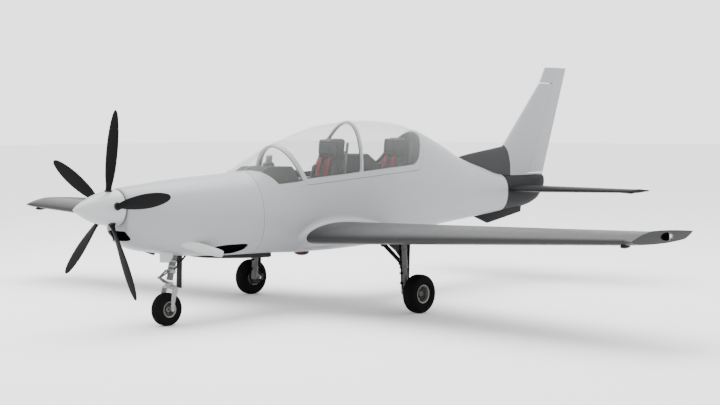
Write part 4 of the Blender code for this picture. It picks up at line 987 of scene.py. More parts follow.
# Dorsal fillet, strake, keel, beacon and exhaust stacks.
underside = {
    "fillet": [(6.19, 1.822, 0.012), (6.43, 1.862, 0.020), (6.76, 1.903, 0.034), (7.09, 1.943, 0.052),
               (7.29, 1.972, 0.064), (7.40, 2.030, 0.069)],
    "filletFoot": 1.50, "filletFullness": 2.8,
    "strake": [(6.513, 0.985), (6.896, 0.849), (7.714, 0.978), (7.76, 1.20), (6.7, 1.20)],
    "keel": [(1.19, 0.86), (1.20, 0.782), (1.32, 0.750), (1.65, 0.720), (2.02, 0.696), (2.38, 0.681),
             (2.418, 0.690),
             (2.40, 0.80)],
    "beacon": (3.04, 0.652), "stackStart": (0.78, 0.27, 0.985), "stackEnd": (1.245, 0.50, 0.823),
    "stack": [(0.0, 0.034), (0.08, 0.052), (0.22, 0.057), (0.50, 0.056), (0.80, 0.050), (0.94, 0.044),
              (1.0, 0.036)],
    "mouth": 0.030, "mouthDepth": 0.09,
}


# A plate with softened edges, from its outline in side view.
def plate(name, outline, yFrom, yTo, ease=0.004, steps=3):
    def build(shape):
        rows = bridgeRings(shape, [[at(x, y, z) for x, z in outline] for y in (yFrom, yTo)])
        shape.faces.new(rows[0][::-1])
        shape.faces.new(rows[1])
        bmesh.ops.recalc_face_normals(shape, faces=shape.faces)
        sharp = [edge for edge in shape.edges if edge.calc_face_angle(0) > 0.5]
        bmesh.ops.bevel(shape, geom=sharp, offset=ease, segments=steps, affect="EDGES", profile=0.5)
    return meshFrom(name, build)


def makeFillet():
    rows = underside["fillet"]
    foot, power, count = underside["filletFoot"], underside["filletFullness"], 36
    rings = []
    for x in stationsBetween(rows[0][0], rows[-1][0], 0.05):
        top, half = curveValue(rows, x), curveValue(rows, x, 2)
        ring = []
        for k in range(count + 1):
            a = math.pi * k / count
            y = half * math.copysign(abs(math.cos(a)) ** (2 / power), math.cos(a))
            ring.append(at(x, y, foot + (top - foot) * max(0, math.sin(a)) ** (2 / power)))
        rings.append(ring)
    skin = loose("filletSkin", loft("filletSkin", rings))
    behind = [(7.25, 2.03)] + [(x - 0.001, z) for x, z in finForm["boundary"][1:6]] + [(8.0, 1.40),
                                                                                       (8.0, 2.2),
                                                                                       (7.25, 2.2)]
    carve(skin, ("DIFFERENCE", sidePrism("filletEnd", behind, -0.3, 0.3)))
    finishPiece(skin, "dorsalPaint", replaces="dorsal_fillet")
    piece("strakeSkin", plate("strakeSkin", underside["strake"], -0.018, 0.018, 0.010), "tailPaint",
          replaces="ventral_strake")


def makeBelly():
    piece("keelSkin", plate("keelSkin", rounded(underside["keel"],
                                                [0, 0.01, 0.03, 0.05, 0.05, 0.05, 0.012, 0]),
                            -0.10, 0.10,
                            0.008), "gearDark", replaces="belly_keel")
    x, z = underside["beacon"]
    dome = [(0.0, 0.0)] + [(0.095 * math.sin(math.pi * k / 20), 0.040 * (1 - math.cos(math.pi * k / 20)))
                           for k in range(1, 11)]
    dome += [(0.097, 0.044), (0.097, 0.070), (0.0, 0.070)]
    piece("beaconDome", turn("beaconDome", dome, at(x, 0, z), (0, 0, 1), 56), "beaconRed",
          replaces="belly_beacon")
    for side, word in ((-1, "left"), (1, "right")):
        start, end = [at(x, side * y, z) for x, y, z in (underside["stackStart"], underside["stackEnd"])]
        length, mouth = (end - start).length, underside["mouth"]
        outer = [(curveValue(underside["stack"], k / 40), length * k / 40) for k in range(41)]
        profile = [(0, 0), *outer, (mouth + 0.002, length + 0.001), (mouth, length - 0.002),
                   (mouth, length - underside["mouthDepth"]), (0, length - underside["mouthDepth"])]
        piece(f"stackSkin_{word}", turn(f"stackSkin_{word}", profile, start, end - start, 48), "podPaint",
              replaces=f"exhaust_stack_{word}")
        liner = [(mouth - 0.001, length - 0.006), (mouth - 0.0015, length - 0.08), (0, length - 0.081)]
        piece(f"stackLiner_{word}", turn(f"stackLiner_{word}", liner, start, end - start, 32), "blackAndPaintedShade")


makeFillet()
makeBelly()
print("underside made")


# Fairing between the hull and each wing: from the wing's skin, round a hollow curve, up on to the hull.
fairing = {"reachFront": 0.53, "reachRear": 0.604, "over": 0.115, "under": 0.050, "lift": 0.0015, "steps": 10,
           "count": 36}


def makeFairing(side, word):
    form = wingForm
    ring = formRing(form, 0.5, 1, 0.0, fairing["count"])
    total = len(ring)
    middle = fairing["count"]
    rows = []
    for k in range(total):
        c = abs(k - middle) / middle
        chordPart = (0.5 - 0.5 * math.cos(math.pi * c))
        reach = lerp(fairing["reachFront"], fairing["reachRear"], min(1.0, 2 * chordPart))

        def section(y):
            return formRing(form, y, 1, 0.0, fairing["count"])

        y = 0.46
        for _ in range(4):
            here = section(y)[k]
            y = max(0.05, hullSide(here.x - discX, here.z))
        corner = section(y)
        before, after = corner[max(k - 1, 0)], corner[min(k + 1, total - 1)]
        outward = Vector((after.z - before.z, 0, before.x - after.x))
        outward = outward.normalized() if outward.length else Vector((1, 0, 0))
        if k < middle and outward.z < 0 or k > middle and outward.z > 0:
            outward.negate()
        if k == middle:
            outward = Vector((-1, 0, 0))
        above = 0.5 + 0.5 * math.cos(math.pi * k / (total - 1))
        size = lerp(fairing["under"], fairing["over"], above) * (1 - 0.8 * chordPart ** 3)
        top = corner[k] + outward * size
        top.y = hullSide(top.x - discX, top.z) + fairing["lift"]
        start = section(reach)[k] + outward * fairing["lift"]
        middlePoint = corner[k] + outward * fairing["lift"]
        row = []
        for step in range(fairing["steps"] + 1):
            t = step / fairing["steps"]
            point = start * (1 - t) ** 2 + middlePoint * 2 * t * (1 - t) + top * t * t
            row.append(Vector((point.x, side * point.y, point.z)))
        rows.append(row)

    def build(shape):
        made = bridgeRings(shape, rows, closed=False)
        for first, last in zip(zip(made[0], made[0][1:]), zip(made[-1], made[-1][1:])):
            shape.faces.new((first[0], first[1], last[1], last[0]))
    piece(f"rootFairing_{word}", meshFrom(f"rootFairing_{word}", build), "lightPaint")


for side, word in ((-1, "left"), (1, "right")):
    makeFairing(side, word)
print("root fairings made")


# Wheels: station, half track, radius, half width and rim radius; a turned tyre with grooves, and a rim with
# holes.
wheels = {
    "nose_wheel": dict(place=(0.8335, 0.0, 0.190), half=0.072, rim=0.085, body="nose_wheel", holes=6,
                       grooves=3),
    "main_wheel_left": dict(place=(3.567, -1.4814, 0.2359), half=0.088, rim=0.105, body="main_wheel_left",
                            holes=8, grooves=4),
    "main_wheel_right": dict(place=(3.567, 1.4814, 0.2359), half=0.088, rim=0.105, body="main_wheel_right",
                             holes=8, grooves=4),
}


def tyreProfile(radius, half, rim, grooves):
    middle, tall = (radius + rim) / 2, (radius - rim) / 2
    outer = []
    for k in range(61):
        a = math.radians(lerp(-64, 244, k / 60))
        r = middle + tall * math.copysign(abs(math.sin(a)) ** 0.72, math.sin(a))
        h = half * math.copysign(abs(math.cos(a)) ** 0.60, math.cos(a))
        for g in range(grooves):
            place = half * 0.52 * (2 * g / (grooves - 1) - 1)
            if r > middle:
                r -= 0.005 * math.exp(-((h - place) / 0.0030) ** 2)
        outer.append((min(r, radius), h))
    return outer


def makeWheel(word, wheel):
    x, y, radius = wheel["place"]
    centre, half, rim = at(x, y, radius), wheel["half"], wheel["rim"]
    profile = tyreProfile(radius, half, rim + 0.001, wheel["grooves"])
    piece(f"{word}_tyreSkin", turn(f"{word}_tyreSkin", profile, centre, (0, 1, 0), 96, closed=True, angle=50),
          "rubber",
          wheel["body"], replaces=f"{word}_tyre")
    bead = half * 0.78
    ring = [(rim - 0.004, -bead), (rim + 0.006, -bead - 0.004), (rim + 0.009, -bead),
            (rim + 0.002, -bead + 0.008),
            (rim + 0.001, 0), (rim + 0.002, bead - 0.008), (rim + 0.009, bead), (rim + 0.006, bead + 0.004),
            (rim - 0.004, bead),
            (rim - 0.008, bead - 0.010), (rim - 0.010, 0.012), (rim - 0.010, -0.012),
            (rim - 0.008, -bead + 0.010)]
    piece(f"{word}_rimRing", turn(f"{word}_rimRing", ring, centre, (0, 1, 0), 96, closed=True), "rimMetal",
          wheel["body"],
          replaces=f"{word}_rim")
    dish = [(0.022, -0.020), (rim * 0.34, -0.022), (rim * 0.42, -0.010), (rim * 0.80, -0.014),
            (rim - 0.006, -0.030),
            (rim - 0.006, 0.030), (rim * 0.80, 0.014), (rim * 0.42, 0.010), (rim * 0.34, 0.022),
            (0.022, 0.020)]
    plateMesh = loose(f"{word}_dish", turn(f"{word}_dish", dish, centre, (0, 1, 0), 72, closed=True))
    holes = []
    for k in range(wheel["holes"]):
        a = 2 * math.pi * k / wheel["holes"] + 0.2
        spot = centre + Vector((math.cos(a), 0, math.sin(a))) * rim * 0.61
        holes.append(loose("hole", rod("hole", spot - Vector((0, 0.06, 0)), spot + Vector((0, 0.06, 0)),
                                       rim * 0.125, segments=20)))
    carve(plateMesh, *[("DIFFERENCE", tool) for tool in holes])
    finishPiece(plateMesh, "rimDark", wheel["body"])
    hub = []
    for sign in (-1, 1):
        cap = [(0.020, 0.0), (0.030, 0.0), (0.030, half * 0.42), (0.026, half * 0.5), (0.020, half * 0.52)]
        hub.append(turn("hub", cap, centre, (0, sign, 0), 40, closed=True))
        for k in range(wheel["holes"]):
            a = 2 * math.pi * (k + 0.5) / wheel["holes"] + 0.2
            spot = centre + Vector((math.cos(a), 0, math.sin(a))) * rim * 0.62
            hub.append(rod("bolt", spot + Vector((0, sign * 0.008, 0)), spot + Vector((0, sign * 0.020, 0)),
                           0.0045, segments=6))
    joined(f"{word}_hub", hub, "rimMetal", wheel["body"])


for word, wheel in wheels.items():
    makeWheel(word, wheel)
print("wheels made")


# Horns on the tailplane's tips, in a fixed front part and a rear part on the elevator.
tipHorn = {
    "fixed": [(7.543, 1.3215), (7.726, 1.306), (7.787, 1.350), (7.868, 1.360), (7.868, 1.325), (7.70, 1.318)],
    "moving": [(7.892, 1.362), (7.931, 1.363), (8.035, 1.352), (8.204, 1.322), (8.03, 1.318), (7.892, 1.325)],
    "side": (1.908, 1.929),
}
for side, word in ((-1, "Left"), (1, "Right")):
    y = sorted(side * value for value in tipHorn["side"])
    for key, body in (("fixed", "airframe"), ("moving", "elevator")):
        piece(f"tailHorn{word}{key.capitalize()}", plate("horn", tipHorn[key], *y, 0.004), "tailPaint", body)
# Dark ring behind the spinner: near black, as painted shade in the gap between the spinner and the cowling.
low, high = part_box("spinner")
ringRadius = (high.z - low.z) / 2
piece("spinnerShadeRing", turn("spinnerShadeRing", [(ringRadius - 0.05, -0.012), (ringRadius + 0.0008, -0.011),
                                          (ringRadius + 0.0008, 0.0),
                                          (ringRadius - 0.05, 0.0)],
                                          Vector((high.x, 0, (low.z + high.z) / 2)),
                                          (1, 0, 0), 128, closed=True),
      "blackAndPaintedShade", "propeller")


# Landing gear. Points are station, side and height; the nose leg leans along its own line.
gear = {
    "noseLow": (0.870, 0.470), "noseHigh": (0.957, 0.840), "armSide": (0.090, 0.104),
    "arm": [(0.850, 0.440), (0.915, 0.432), (0.922, 0.405), (0.888, 0.325), (0.868, 0.240), (0.866, 0.185),
            (0.848, 0.168),
            (0.826, 0.172), (0.816, 0.190), (0.826, 0.330)],
    "linkUpper": (0.851, 0.629), "linkApex": (0.732, 0.559), "linkLower": (0.828, 0.500),
    "noseDoor": [(1.025, 0.90), (1.05, 0.90), (1.035, 0.42), (1.01, 0.42)],
    "bayLeft": [(0.612, 0.92), (0.612, 0.753), (0.745, 0.740), (0.80, 0.80), (0.80, 0.92)],
    "bayRight": [(0.612, 0.92), (0.612, 0.862), (0.78, 0.803), (0.80, 0.82), (0.80, 0.92)],
    "mainTop": (3.505, 1.270, 0.960), "mainFoot": (3.475, 1.330, 0.240), "mainAxle": (3.567, 1.330, 0.2359),
    "gusset": [(3.227, 0.846), (3.356, 0.764), (3.441, 0.676), (3.613, 0.761), (3.613, 0.90), (3.227, 0.90)],
    "collars": [(0.26, 0.053, 0.016), (0.44, 0.052, 0.030), (0.555, 0.052, 0.022), (0.80, 0.046, 0.030)],
    "clips": (0.30, 0.47, 0.66, 0.83),
    "mainDoor": [(3.560, 0.95), (3.572, 0.95), (3.545, 0.40), (3.533, 0.40)],
}


def legPoint(z, y=0.0):
    (lowX, lowZ), (highX, highZ) = gear["noseLow"], gear["noseHigh"]
    return at(lerp(lowX, highX, (z - lowZ) / (highZ - lowZ)), y, z)


def makeNoseGear():
    axis = legPoint(0.90) - legPoint(0.50)
    joined("noseStrut", [
        rod("s1", legPoint(0.90), legPoint(0.66), 0.042), rod("s2", legPoint(0.70), legPoint(0.52), 0.038),
    ], "gearGrey", replaces="nose_leg")
    joined("noseStrutCollars", [rod("c1", legPoint(0.745), legPoint(0.725), 0.049),
                                rod("c2", legPoint(0.685), legPoint(0.665), 0.047)],
           "gearPaint")
    joined("noseBrace", [
        rod("b1", legPoint(0.62, 0.03), at(1.16, 0.05, 0.86), 0.011),
        rod("b2", legPoint(0.62, -0.03), at(1.16, -0.05, 0.86), 0.011),
        rod("b3", legPoint(0.62, -0.042), legPoint(0.62, 0.042), 0.016),
        rod("b4", at(1.16, -0.07, 0.86), at(1.16, 0.07, 0.86), 0.014),
    ], "gearDark")
    tube("noseHose", [legPoint(0.86, 0.05), legPoint(0.74, 0.058), legPoint(0.60, 0.052),
                      legPoint(0.545, 0.046)], 0.006, "blackAndPaintedShade")
    body = "nose_steering"
    low, high = gear["armSide"]
    neck = [(0, 0), (0.050, 0), (0.052, 0.012), (0.047, 0.030), (0.043, 0.062), (0.047, 0.066),
            (0.047, 0.080),
            (0, 0.080)]
    parts = [turn("neck", neck, legPoint(0.425), axis, 48)]
    for side in (-1, 1):
        y = spanOn(side, low, high)
        parts.append(plate("arm", rounded(gear["arm"], [0.014] * 10), *y, 0.004))
    joined("noseFork", parts, "gearPaint", body, replaces="nose_fork")

    def arch(shape):
        rings = []
        for k in range(25):
            t = math.pi * k / 24
            y = -0.097 * math.cos(t)
            z = 0.404 + 0.046 * math.sin(t) ** 0.6
            high, wide = 0.020 + 0.006 * math.sin(t), 0.036 + 0.012 * math.sin(t)
            around = [2 * math.pi * j / 24 for j in range(24)]
            rings.append([at(0.884 + wide * math.cos(a), y, z + high * math.sin(a)) for a in around])
        rows = bridgeRings(shape, rings)
        shape.faces.new(rows[0][::-1])
        shape.faces.new(rows[-1])
        bmesh.ops.recalc_face_normals(shape, faces=shape.faces)
    piece("noseCrown", meshFrom("noseCrown", arch), "gearPaint", body)
    collar = [(0.0435, 0), (0.052, 0), (0.054, 0.006), (0.054, 0.034), (0.052, 0.040), (0.0435, 0.040)]
    joined("noseSteerCollar", [turn("collar", collar, legPoint(0.600), axis, 48, closed=True)], "gearPaint",
           body)

    def linkAt(key, y):
        return at(gear[key][0], y, gear[key][1])

    links = []
    for key in ("linkUpper", "linkLower"):
        for side in (-1, 1):
            links.append(rod("l", linkAt(key, side * 0.030), linkAt("linkApex", side * 0.012), 0.011, 0.009))
        links.append(rod("p", linkAt(key, -0.042), linkAt(key, 0.042), 0.010))
    links.append(rod("p", linkAt("linkApex", -0.024), linkAt("linkApex", 0.024), 0.012))
    joined("noseTorqueLinks", links, "gearGrey", body)
    x, z = wheels["nose_wheel"]["place"][0], wheels["nose_wheel"]["place"][2]
    axle = [rod("a", at(x, -0.120, z), at(x, 0.120, z), 0.013)]
    for side in (-1, 1):
        axle.append(rod("n", at(x, side * 0.104, z), at(x, side * 0.114, z), 0.021, segments=6))
    joined("noseAxle", axle, "chrome", body)
    piece("noseLegDoor", plate("noseLegDoor", gear["noseDoor"], -0.037, 0.037), "gearDark",
          replaces="nose_leg_door")
    # The two nose bay doors are painted as a lit and a shaded copy: the left one in the light podPaint, the
    # right one in the dark gearDark as painted shade.
    for side, word, finish in ((-1, "Left", "podPaint"), (1, "Right", "gearDark")):
        y = spanOn(side, 0.150, 0.162)
        shape = plate(f"bayDoor{word}", gear[f"bay{word}"], *y)
        piece(f"bayDoor{word}", shape, finish, replaces=f"nose_bay_door_{word.lower()}")


def makeMainGear(side, word):
    def spotAt(x, y, z):
        return at(x, side * y, z)

    top, foot, axle = [spotAt(*gear[key]) for key in ("mainTop", "mainFoot", "mainAxle")]
    down = (foot - top).normalized()
    name = f"main{word.capitalize()}"
    parts = [rod("s1", top, lerp(top, foot, 0.56), 0.052, 0.049),
             rod("s2", lerp(top, foot, 0.50), foot, 0.042)]
    parts.append(rod("s3", lerp(top, foot, 0.97) + Vector((0, 0, 0.03)), axle, 0.036, 0.031))
    parts.append(turn("s4", [(0, -0.034), (0.034, -0.030), (0.040, 0), (0.034, 0.030), (0, 0.034)],
                      foot - down * 0.01, -down, 40))
    joined(f"{name}Strut", parts, "gearGrey", replaces=f"main_leg_{word}")
    rings = []
    for t, r, h in gear["collars"]:
        profile = [(0.030, 0), (r, 0), (r + 0.003, 0.004), (r + 0.003, h - 0.004), (r, h), (0.030, h)]
        rings.append(turn("collar", profile, lerp(top, foot, t), down, 40, closed=True))
    joined(f"{name}Collars", rings, "gearGrey")
    clips = [softBox("k", lerp(top, foot, t) + Vector((-0.068, -0.018, -0.010)),
                     lerp(top, foot, t) + Vector((-0.034, 0.018, 0.010)), 0.003)
             for t in gear["clips"]]
    joined(f"{name}Clips", clips, "blackAndPaintedShade")
    hose = [lerp(top, foot, t) + Vector((-0.060, side * 0.010, 0)) for t in (0.08, *gear["clips"])]
    hose += [foot + Vector((-0.03, side * 0.03, 0.03)), axle + Vector((-0.05, side * 0.035, 0.05))]
    tube(f"{name}Hose", hose, 0.007, "blackAndPaintedShade")
    joined(f"{name}Brace", [
        rod("b1", spotAt(3.425, 0.94, 0.88), spotAt(3.452, 1.290, 0.600), 0.015),
        rod("b2", spotAt(3.475, 0.94, 0.88), spotAt(3.492, 1.290, 0.600), 0.013),
        rod("b3", spotAt(3.425, 1.290, 0.600), spotAt(3.515, 1.290, 0.600), 0.022),
        rod("b4", spotAt(3.41, 1.02, 0.817), spotAt(3.49, 1.02, 0.817), 0.026),
    ], "gearDark")
    y = spanOn(side, 1.274, 1.286)
    piece(f"{name}Gusset", plate(f"{name}Gusset", gear["gusset"], *y), "gearDark")
    y = spanOn(side, 1.262, 1.345)
    piece(f"{name}Door", plate(f"{name}Door", gear["mainDoor"], *y, 0.003), "gearDark",
          replaces=f"main_leg_door_{word}")
    joined(f"{name}Axle", [rod("a", axle - Vector((0, side * 0.03, 0)), spotAt(3.567, 1.470, 0.2359), 0.019)],
           "chrome")
    inner = spotAt(3.567, 1.374, 0.2359)
    joined(f"{name}Brake", [
        turn("d", [(0.030, 0), (0.094, 0), (0.095, 0.004), (0.095, 0.009), (0.030, 0.010)], inner,
             (0, side, 0),
             56, closed=True),
        softBox("q", inner + Vector((0.040, -0.024, -0.045)), inner + Vector((0.108, 0.012, 0.045)), 0.008),
    ], "gearDark")


makeNoseGear()
for side, word in ((-1, "left"), (1, "right")):
    makeMainGear(side, word)
print("landing gear made")


# Cockpit: coamings, panels, consoles, sticks and seats. Seat points are measured from the hip and the floor.
cockpit = {
    "floor": 1.0, "inset": 0.036, "hips": {"front": 3.37, "rear": 4.64},
    "frontCoaming": [(2.02, 1.50), (2.60, 1.42), (2.61, 1.64), (2.57, 1.788), (2.24, 1.788), (2.02, 1.68)],
    "pedestal": [(2.45, 1.0), (2.55, 1.0), (2.58, 1.43), (2.40, 1.44)],
    "rearCoaming": [(3.98, 1.0), (4.08, 1.0), (4.10, 1.40), (4.27, 1.45), (4.27, 1.76), (4.02, 1.92),
                    (3.98, 1.90)],
    "console": (2.70, 4.90, 0.29, 1.36),
    "stickBoot": [(0, 0), (0.060, 0), (0.052, 0.020), (0.022, 0.060), (0, 0.062)],
    "grip": [(0, 0), (0.017, 0.003), (0.019, 0.030), (0.016, 0.060), (0.021, 0.088), (0.023, 0.112),
             (0.012, 0.124),
             (0, 0.125)],
    "pan": [(-0.38, 0.01), (0.04, 0.01), (0.10, 0.25), (0.00, 0.285), (-0.36, 0.30), (-0.40, 0.27)],
    "backFront": [(-0.202, 0.20), (-0.202, 0.72), (-0.150, 0.86), (-0.138, 1.13),
                  (0.138, 1.13), (0.150, 0.86), (0.202, 0.72), (0.202, 0.20)],
    "back": [(0.045, 0.26), (0.135, 0.60), (0.185, 0.88), (0.17, 1.075), (0.265, 1.118), (0.335, 1.098),
             (0.295, 0.90), (0.105, 0.26)],
}


# A sewn cushion: a crowned closed form with grooves along its seams.
def pillow(name, middle, along, across, thick, finish, seams=(), body="airframe", back=0.25, cells=44):
    out = Vector(along).cross(Vector(across)).normalized()
    along, across = Vector(along) / 2, Vector(across) / 2

    def build(shape):
        for sign, part in ((1, 1.0), (-1, back)):
            rows = []
            for i in range(cells + 1):
                u = math.sin(math.pi / 2 * (2 * i / cells - 1))
                row = []
                for j in range(cells + 1):
                    v = math.sin(math.pi / 2 * (2 * j / cells - 1))
                    swell = (max(0.0, 1 - u**6) * max(0.0, 1 - v**6)) ** 0.42
                    for seam in seams:
                        swell *= 1 - 0.30 * math.exp(-((u - seam) / 0.035) ** 2)
                    swell *= 1 - 0.22 * math.exp(-((abs(v) - 0.62) / 0.035) ** 2)
                    spot = middle + along * u + across * v + out * sign * part * thick * swell
                    row.append(shape.verts.new(spot))
                rows.append(row)
            for low, high in zip(rows, rows[1:]):
                for k in range(cells):
                    loop = (low[k], low[k + 1], high[k + 1], high[k])
                    shape.faces.new(loop if sign > 0 else loop[::-1])
        bmesh.ops.remove_doubles(shape, verts=shape.verts, dist=1e-5)
        bmesh.ops.recalc_face_normals(shape, faces=shape.faces)
    made = piece(name, meshFrom(name, build, 60), finish, body)
    return made


# A flat strap of webbing through points, with its own width along y.
def strap(name, points, width, finish, thick=0.004):
    rings = []
    for k, point in enumerate(points):
        ahead, behind = points[min(k + 1, len(points) - 1)], points[max(k - 1, 0)]
        run = (ahead - behind).normalized()
        up = Vector((-run.z, 0, run.x)).normalized() * thick / 2
        side = Vector((0, width / 2, 0))
        rings.append([point - side - up, point + side - up, point + side + up, point - side + up])
    piece(name, loft(name, rings), finish)


def makeSeat(word, hip):
    floor = cockpit["floor"]

    def seatPoint(x, y, z):
        return at(hip + x, y, floor + z)

    name = f"{word}Seat"
    back = [(hip + x, floor + z) for x, z in rounded(cockpit["back"],
                                                     [0.01, 0.03, 0.03, 0.03, 0.03, 0.03, 0.03, 0.01])]
    settled = loose(f"{name}Back", plate(f"{name}Back", back, -0.200, 0.200, 0.016))
    front = rounded(cockpit["backFront"], [0, 0.05, 0.05, 0.07, 0.07, 0.05, 0.05, 0])
    trimmed = loose("seatFront", loft("seatFront",
                                      [[at(hip + x, y, floor + z) for y, z in front] for x in (-0.3, 0.6)]))
    carve(settled, ("INTERSECT", trimmed))
    shell = [plate("pan", [(hip + x, floor + z) for x,
                           z in rounded(cockpit["pan"], [0.01, 0.01, 0.03, 0.02, 0.03, 0.02])], -0.205, 0.205,
                           0.010),
             settled.data]
    joined(f"{name}Shell", shell, "seatShell", replaces=f"{word}_seat")
    bpy.data.objects.remove(settled)
    rails = [rod("r", seatPoint(0.17, side * 0.150, 0.02), seatPoint(0.372, side * 0.150, 1.06), 0.018)
             for side in (-1, 1)]
    rails.append(rod("r", seatPoint(0.345, -0.16, 0.94), seatPoint(0.345, 0.16, 0.94), 0.014))
    joined(f"{name}Rails", rails, "gearGrey")
    pillow(f"{name}Cushion", seatPoint(-0.195, 0, 0.302), (0.0, 0.370, 0), (-0.375, 0, 0.018), 0.062,
           "seatCloth", (-0.40, 0.40), back=0.10)
    lean = Vector((0.150, 0, 0.520))
    pillow(f"{name}BackCushion", seatPoint(0.092, 0, 0.590), (0.0, -0.340, 0), tuple(lean), 0.052,
           "seatCloth",
           (-0.45, 0.45), back=0.15)
    for side in (-1, 1):
        pillow(f"{name}Bolster{'Left' if side < 0 else 'Right'}", seatPoint(0.076, side * 0.180, 0.560),
               (0.0, -0.050, 0), (0.125, 0, 0.440),
               0.072, "headrest", back=0.15, cells=24)
    pillow(f"{name}Headrest", seatPoint(0.176, 0, 0.985), (0.0, -0.272, 0), (0.014, 0, 0.236), 0.085,
           "headrest", (-0.55, 0.55), back=0.12)
    for side, hand in ((-1, "Left"), (1, "Right")):
        y = side * 0.075
        strap(f"{name}Strap{hand}", [seatPoint(0.215, y, 0.905), seatPoint(0.150, y, 0.902),
                                     seatPoint(0.092, y * 1.02, 0.850),
                                     seatPoint(0.050, y, 0.720), seatPoint(0.010, y * 0.92, 0.560),
                                     seatPoint(-0.030, y * 0.75, 0.450),
                                     seatPoint(-0.075, y * 0.45, 0.398)], 0.046, "strapRed")
        strap(f"{name}LapStrap{hand}", [seatPoint(-0.080 + 0.050 * k, side * (0.015 + 0.055 * k),
                                                  0.392 - 0.022 * k) for k in range(4)], 0.044,
              "strapGrey")
    joined(f"{name}Buckle", [softBox("b", seatPoint(-0.105, -0.030, 0.386), seatPoint(-0.050, 0.030, 0.412),
                                     0.006),
                             rod("k", seatPoint(-0.078, 0, 0.405), seatPoint(-0.082, 0, 0.420), 0.018)],
                             "chrome")
    joined(f"{name}Handle", [softBox("h", seatPoint(-0.425, -0.035, 0.255), seatPoint(-0.405, 0.035, 0.285),
                                     0.006)], "strapRed")


# Instrument panel: bezels, glass displays, dials and rows of push buttons on an upright plate.
def makePanel(name, x, low, high, wide, displays):
    joined(f"{name}Panel", [softBox("p", at(x, -wide, low), at(x + 0.010, wide, high), 0.004)], "sidewall")
    bezels, glasses, buttons = [], [], []
    for y, z, halfWide, halfHigh in displays:
        bezels.append(softBox("b", at(x + 0.008, y - halfWide - 0.012, z - halfHigh - 0.012),
                              at(x + 0.018, y + halfWide + 0.012, z + halfHigh + 0.012),
                              0.003))
        glasses.append(softBox("g", at(x + 0.015, y - halfWide, z - halfHigh),
                               at(x + 0.0195, y + halfWide, z + halfHigh), 0.001))
        for k in range(6):
            place = lerp(-halfWide, halfWide, (k + 0.5) / 6)
            buttons.append(softBox("k", at(x + 0.016, y + place - 0.006, z - halfHigh - 0.010),
                                   at(x + 0.021, y + place + 0.006, z - halfHigh - 0.003),
                                   0.0012, 1))
    joined(f"{name}Bezels", bezels, "coaming")
    joined(f"{name}Displays", glasses, "screen")
    joined(f"{name}Buttons", buttons, "markWhite")
    dials = []
    for k in range(5):
        y = lerp(-wide * 0.8, wide * 0.8, k / 4)
        dials.append(turn("d", [(0, 0.006), (0.016, 0.006), (0.018, 0.012), (0.021, 0.012), (0.022, 0.0),
                                (0, 0)], at(x + 0.008, y, high - 0.030),
                          (1, 0, 0), 28))
    joined(f"{name}Dials", dials, "knob")


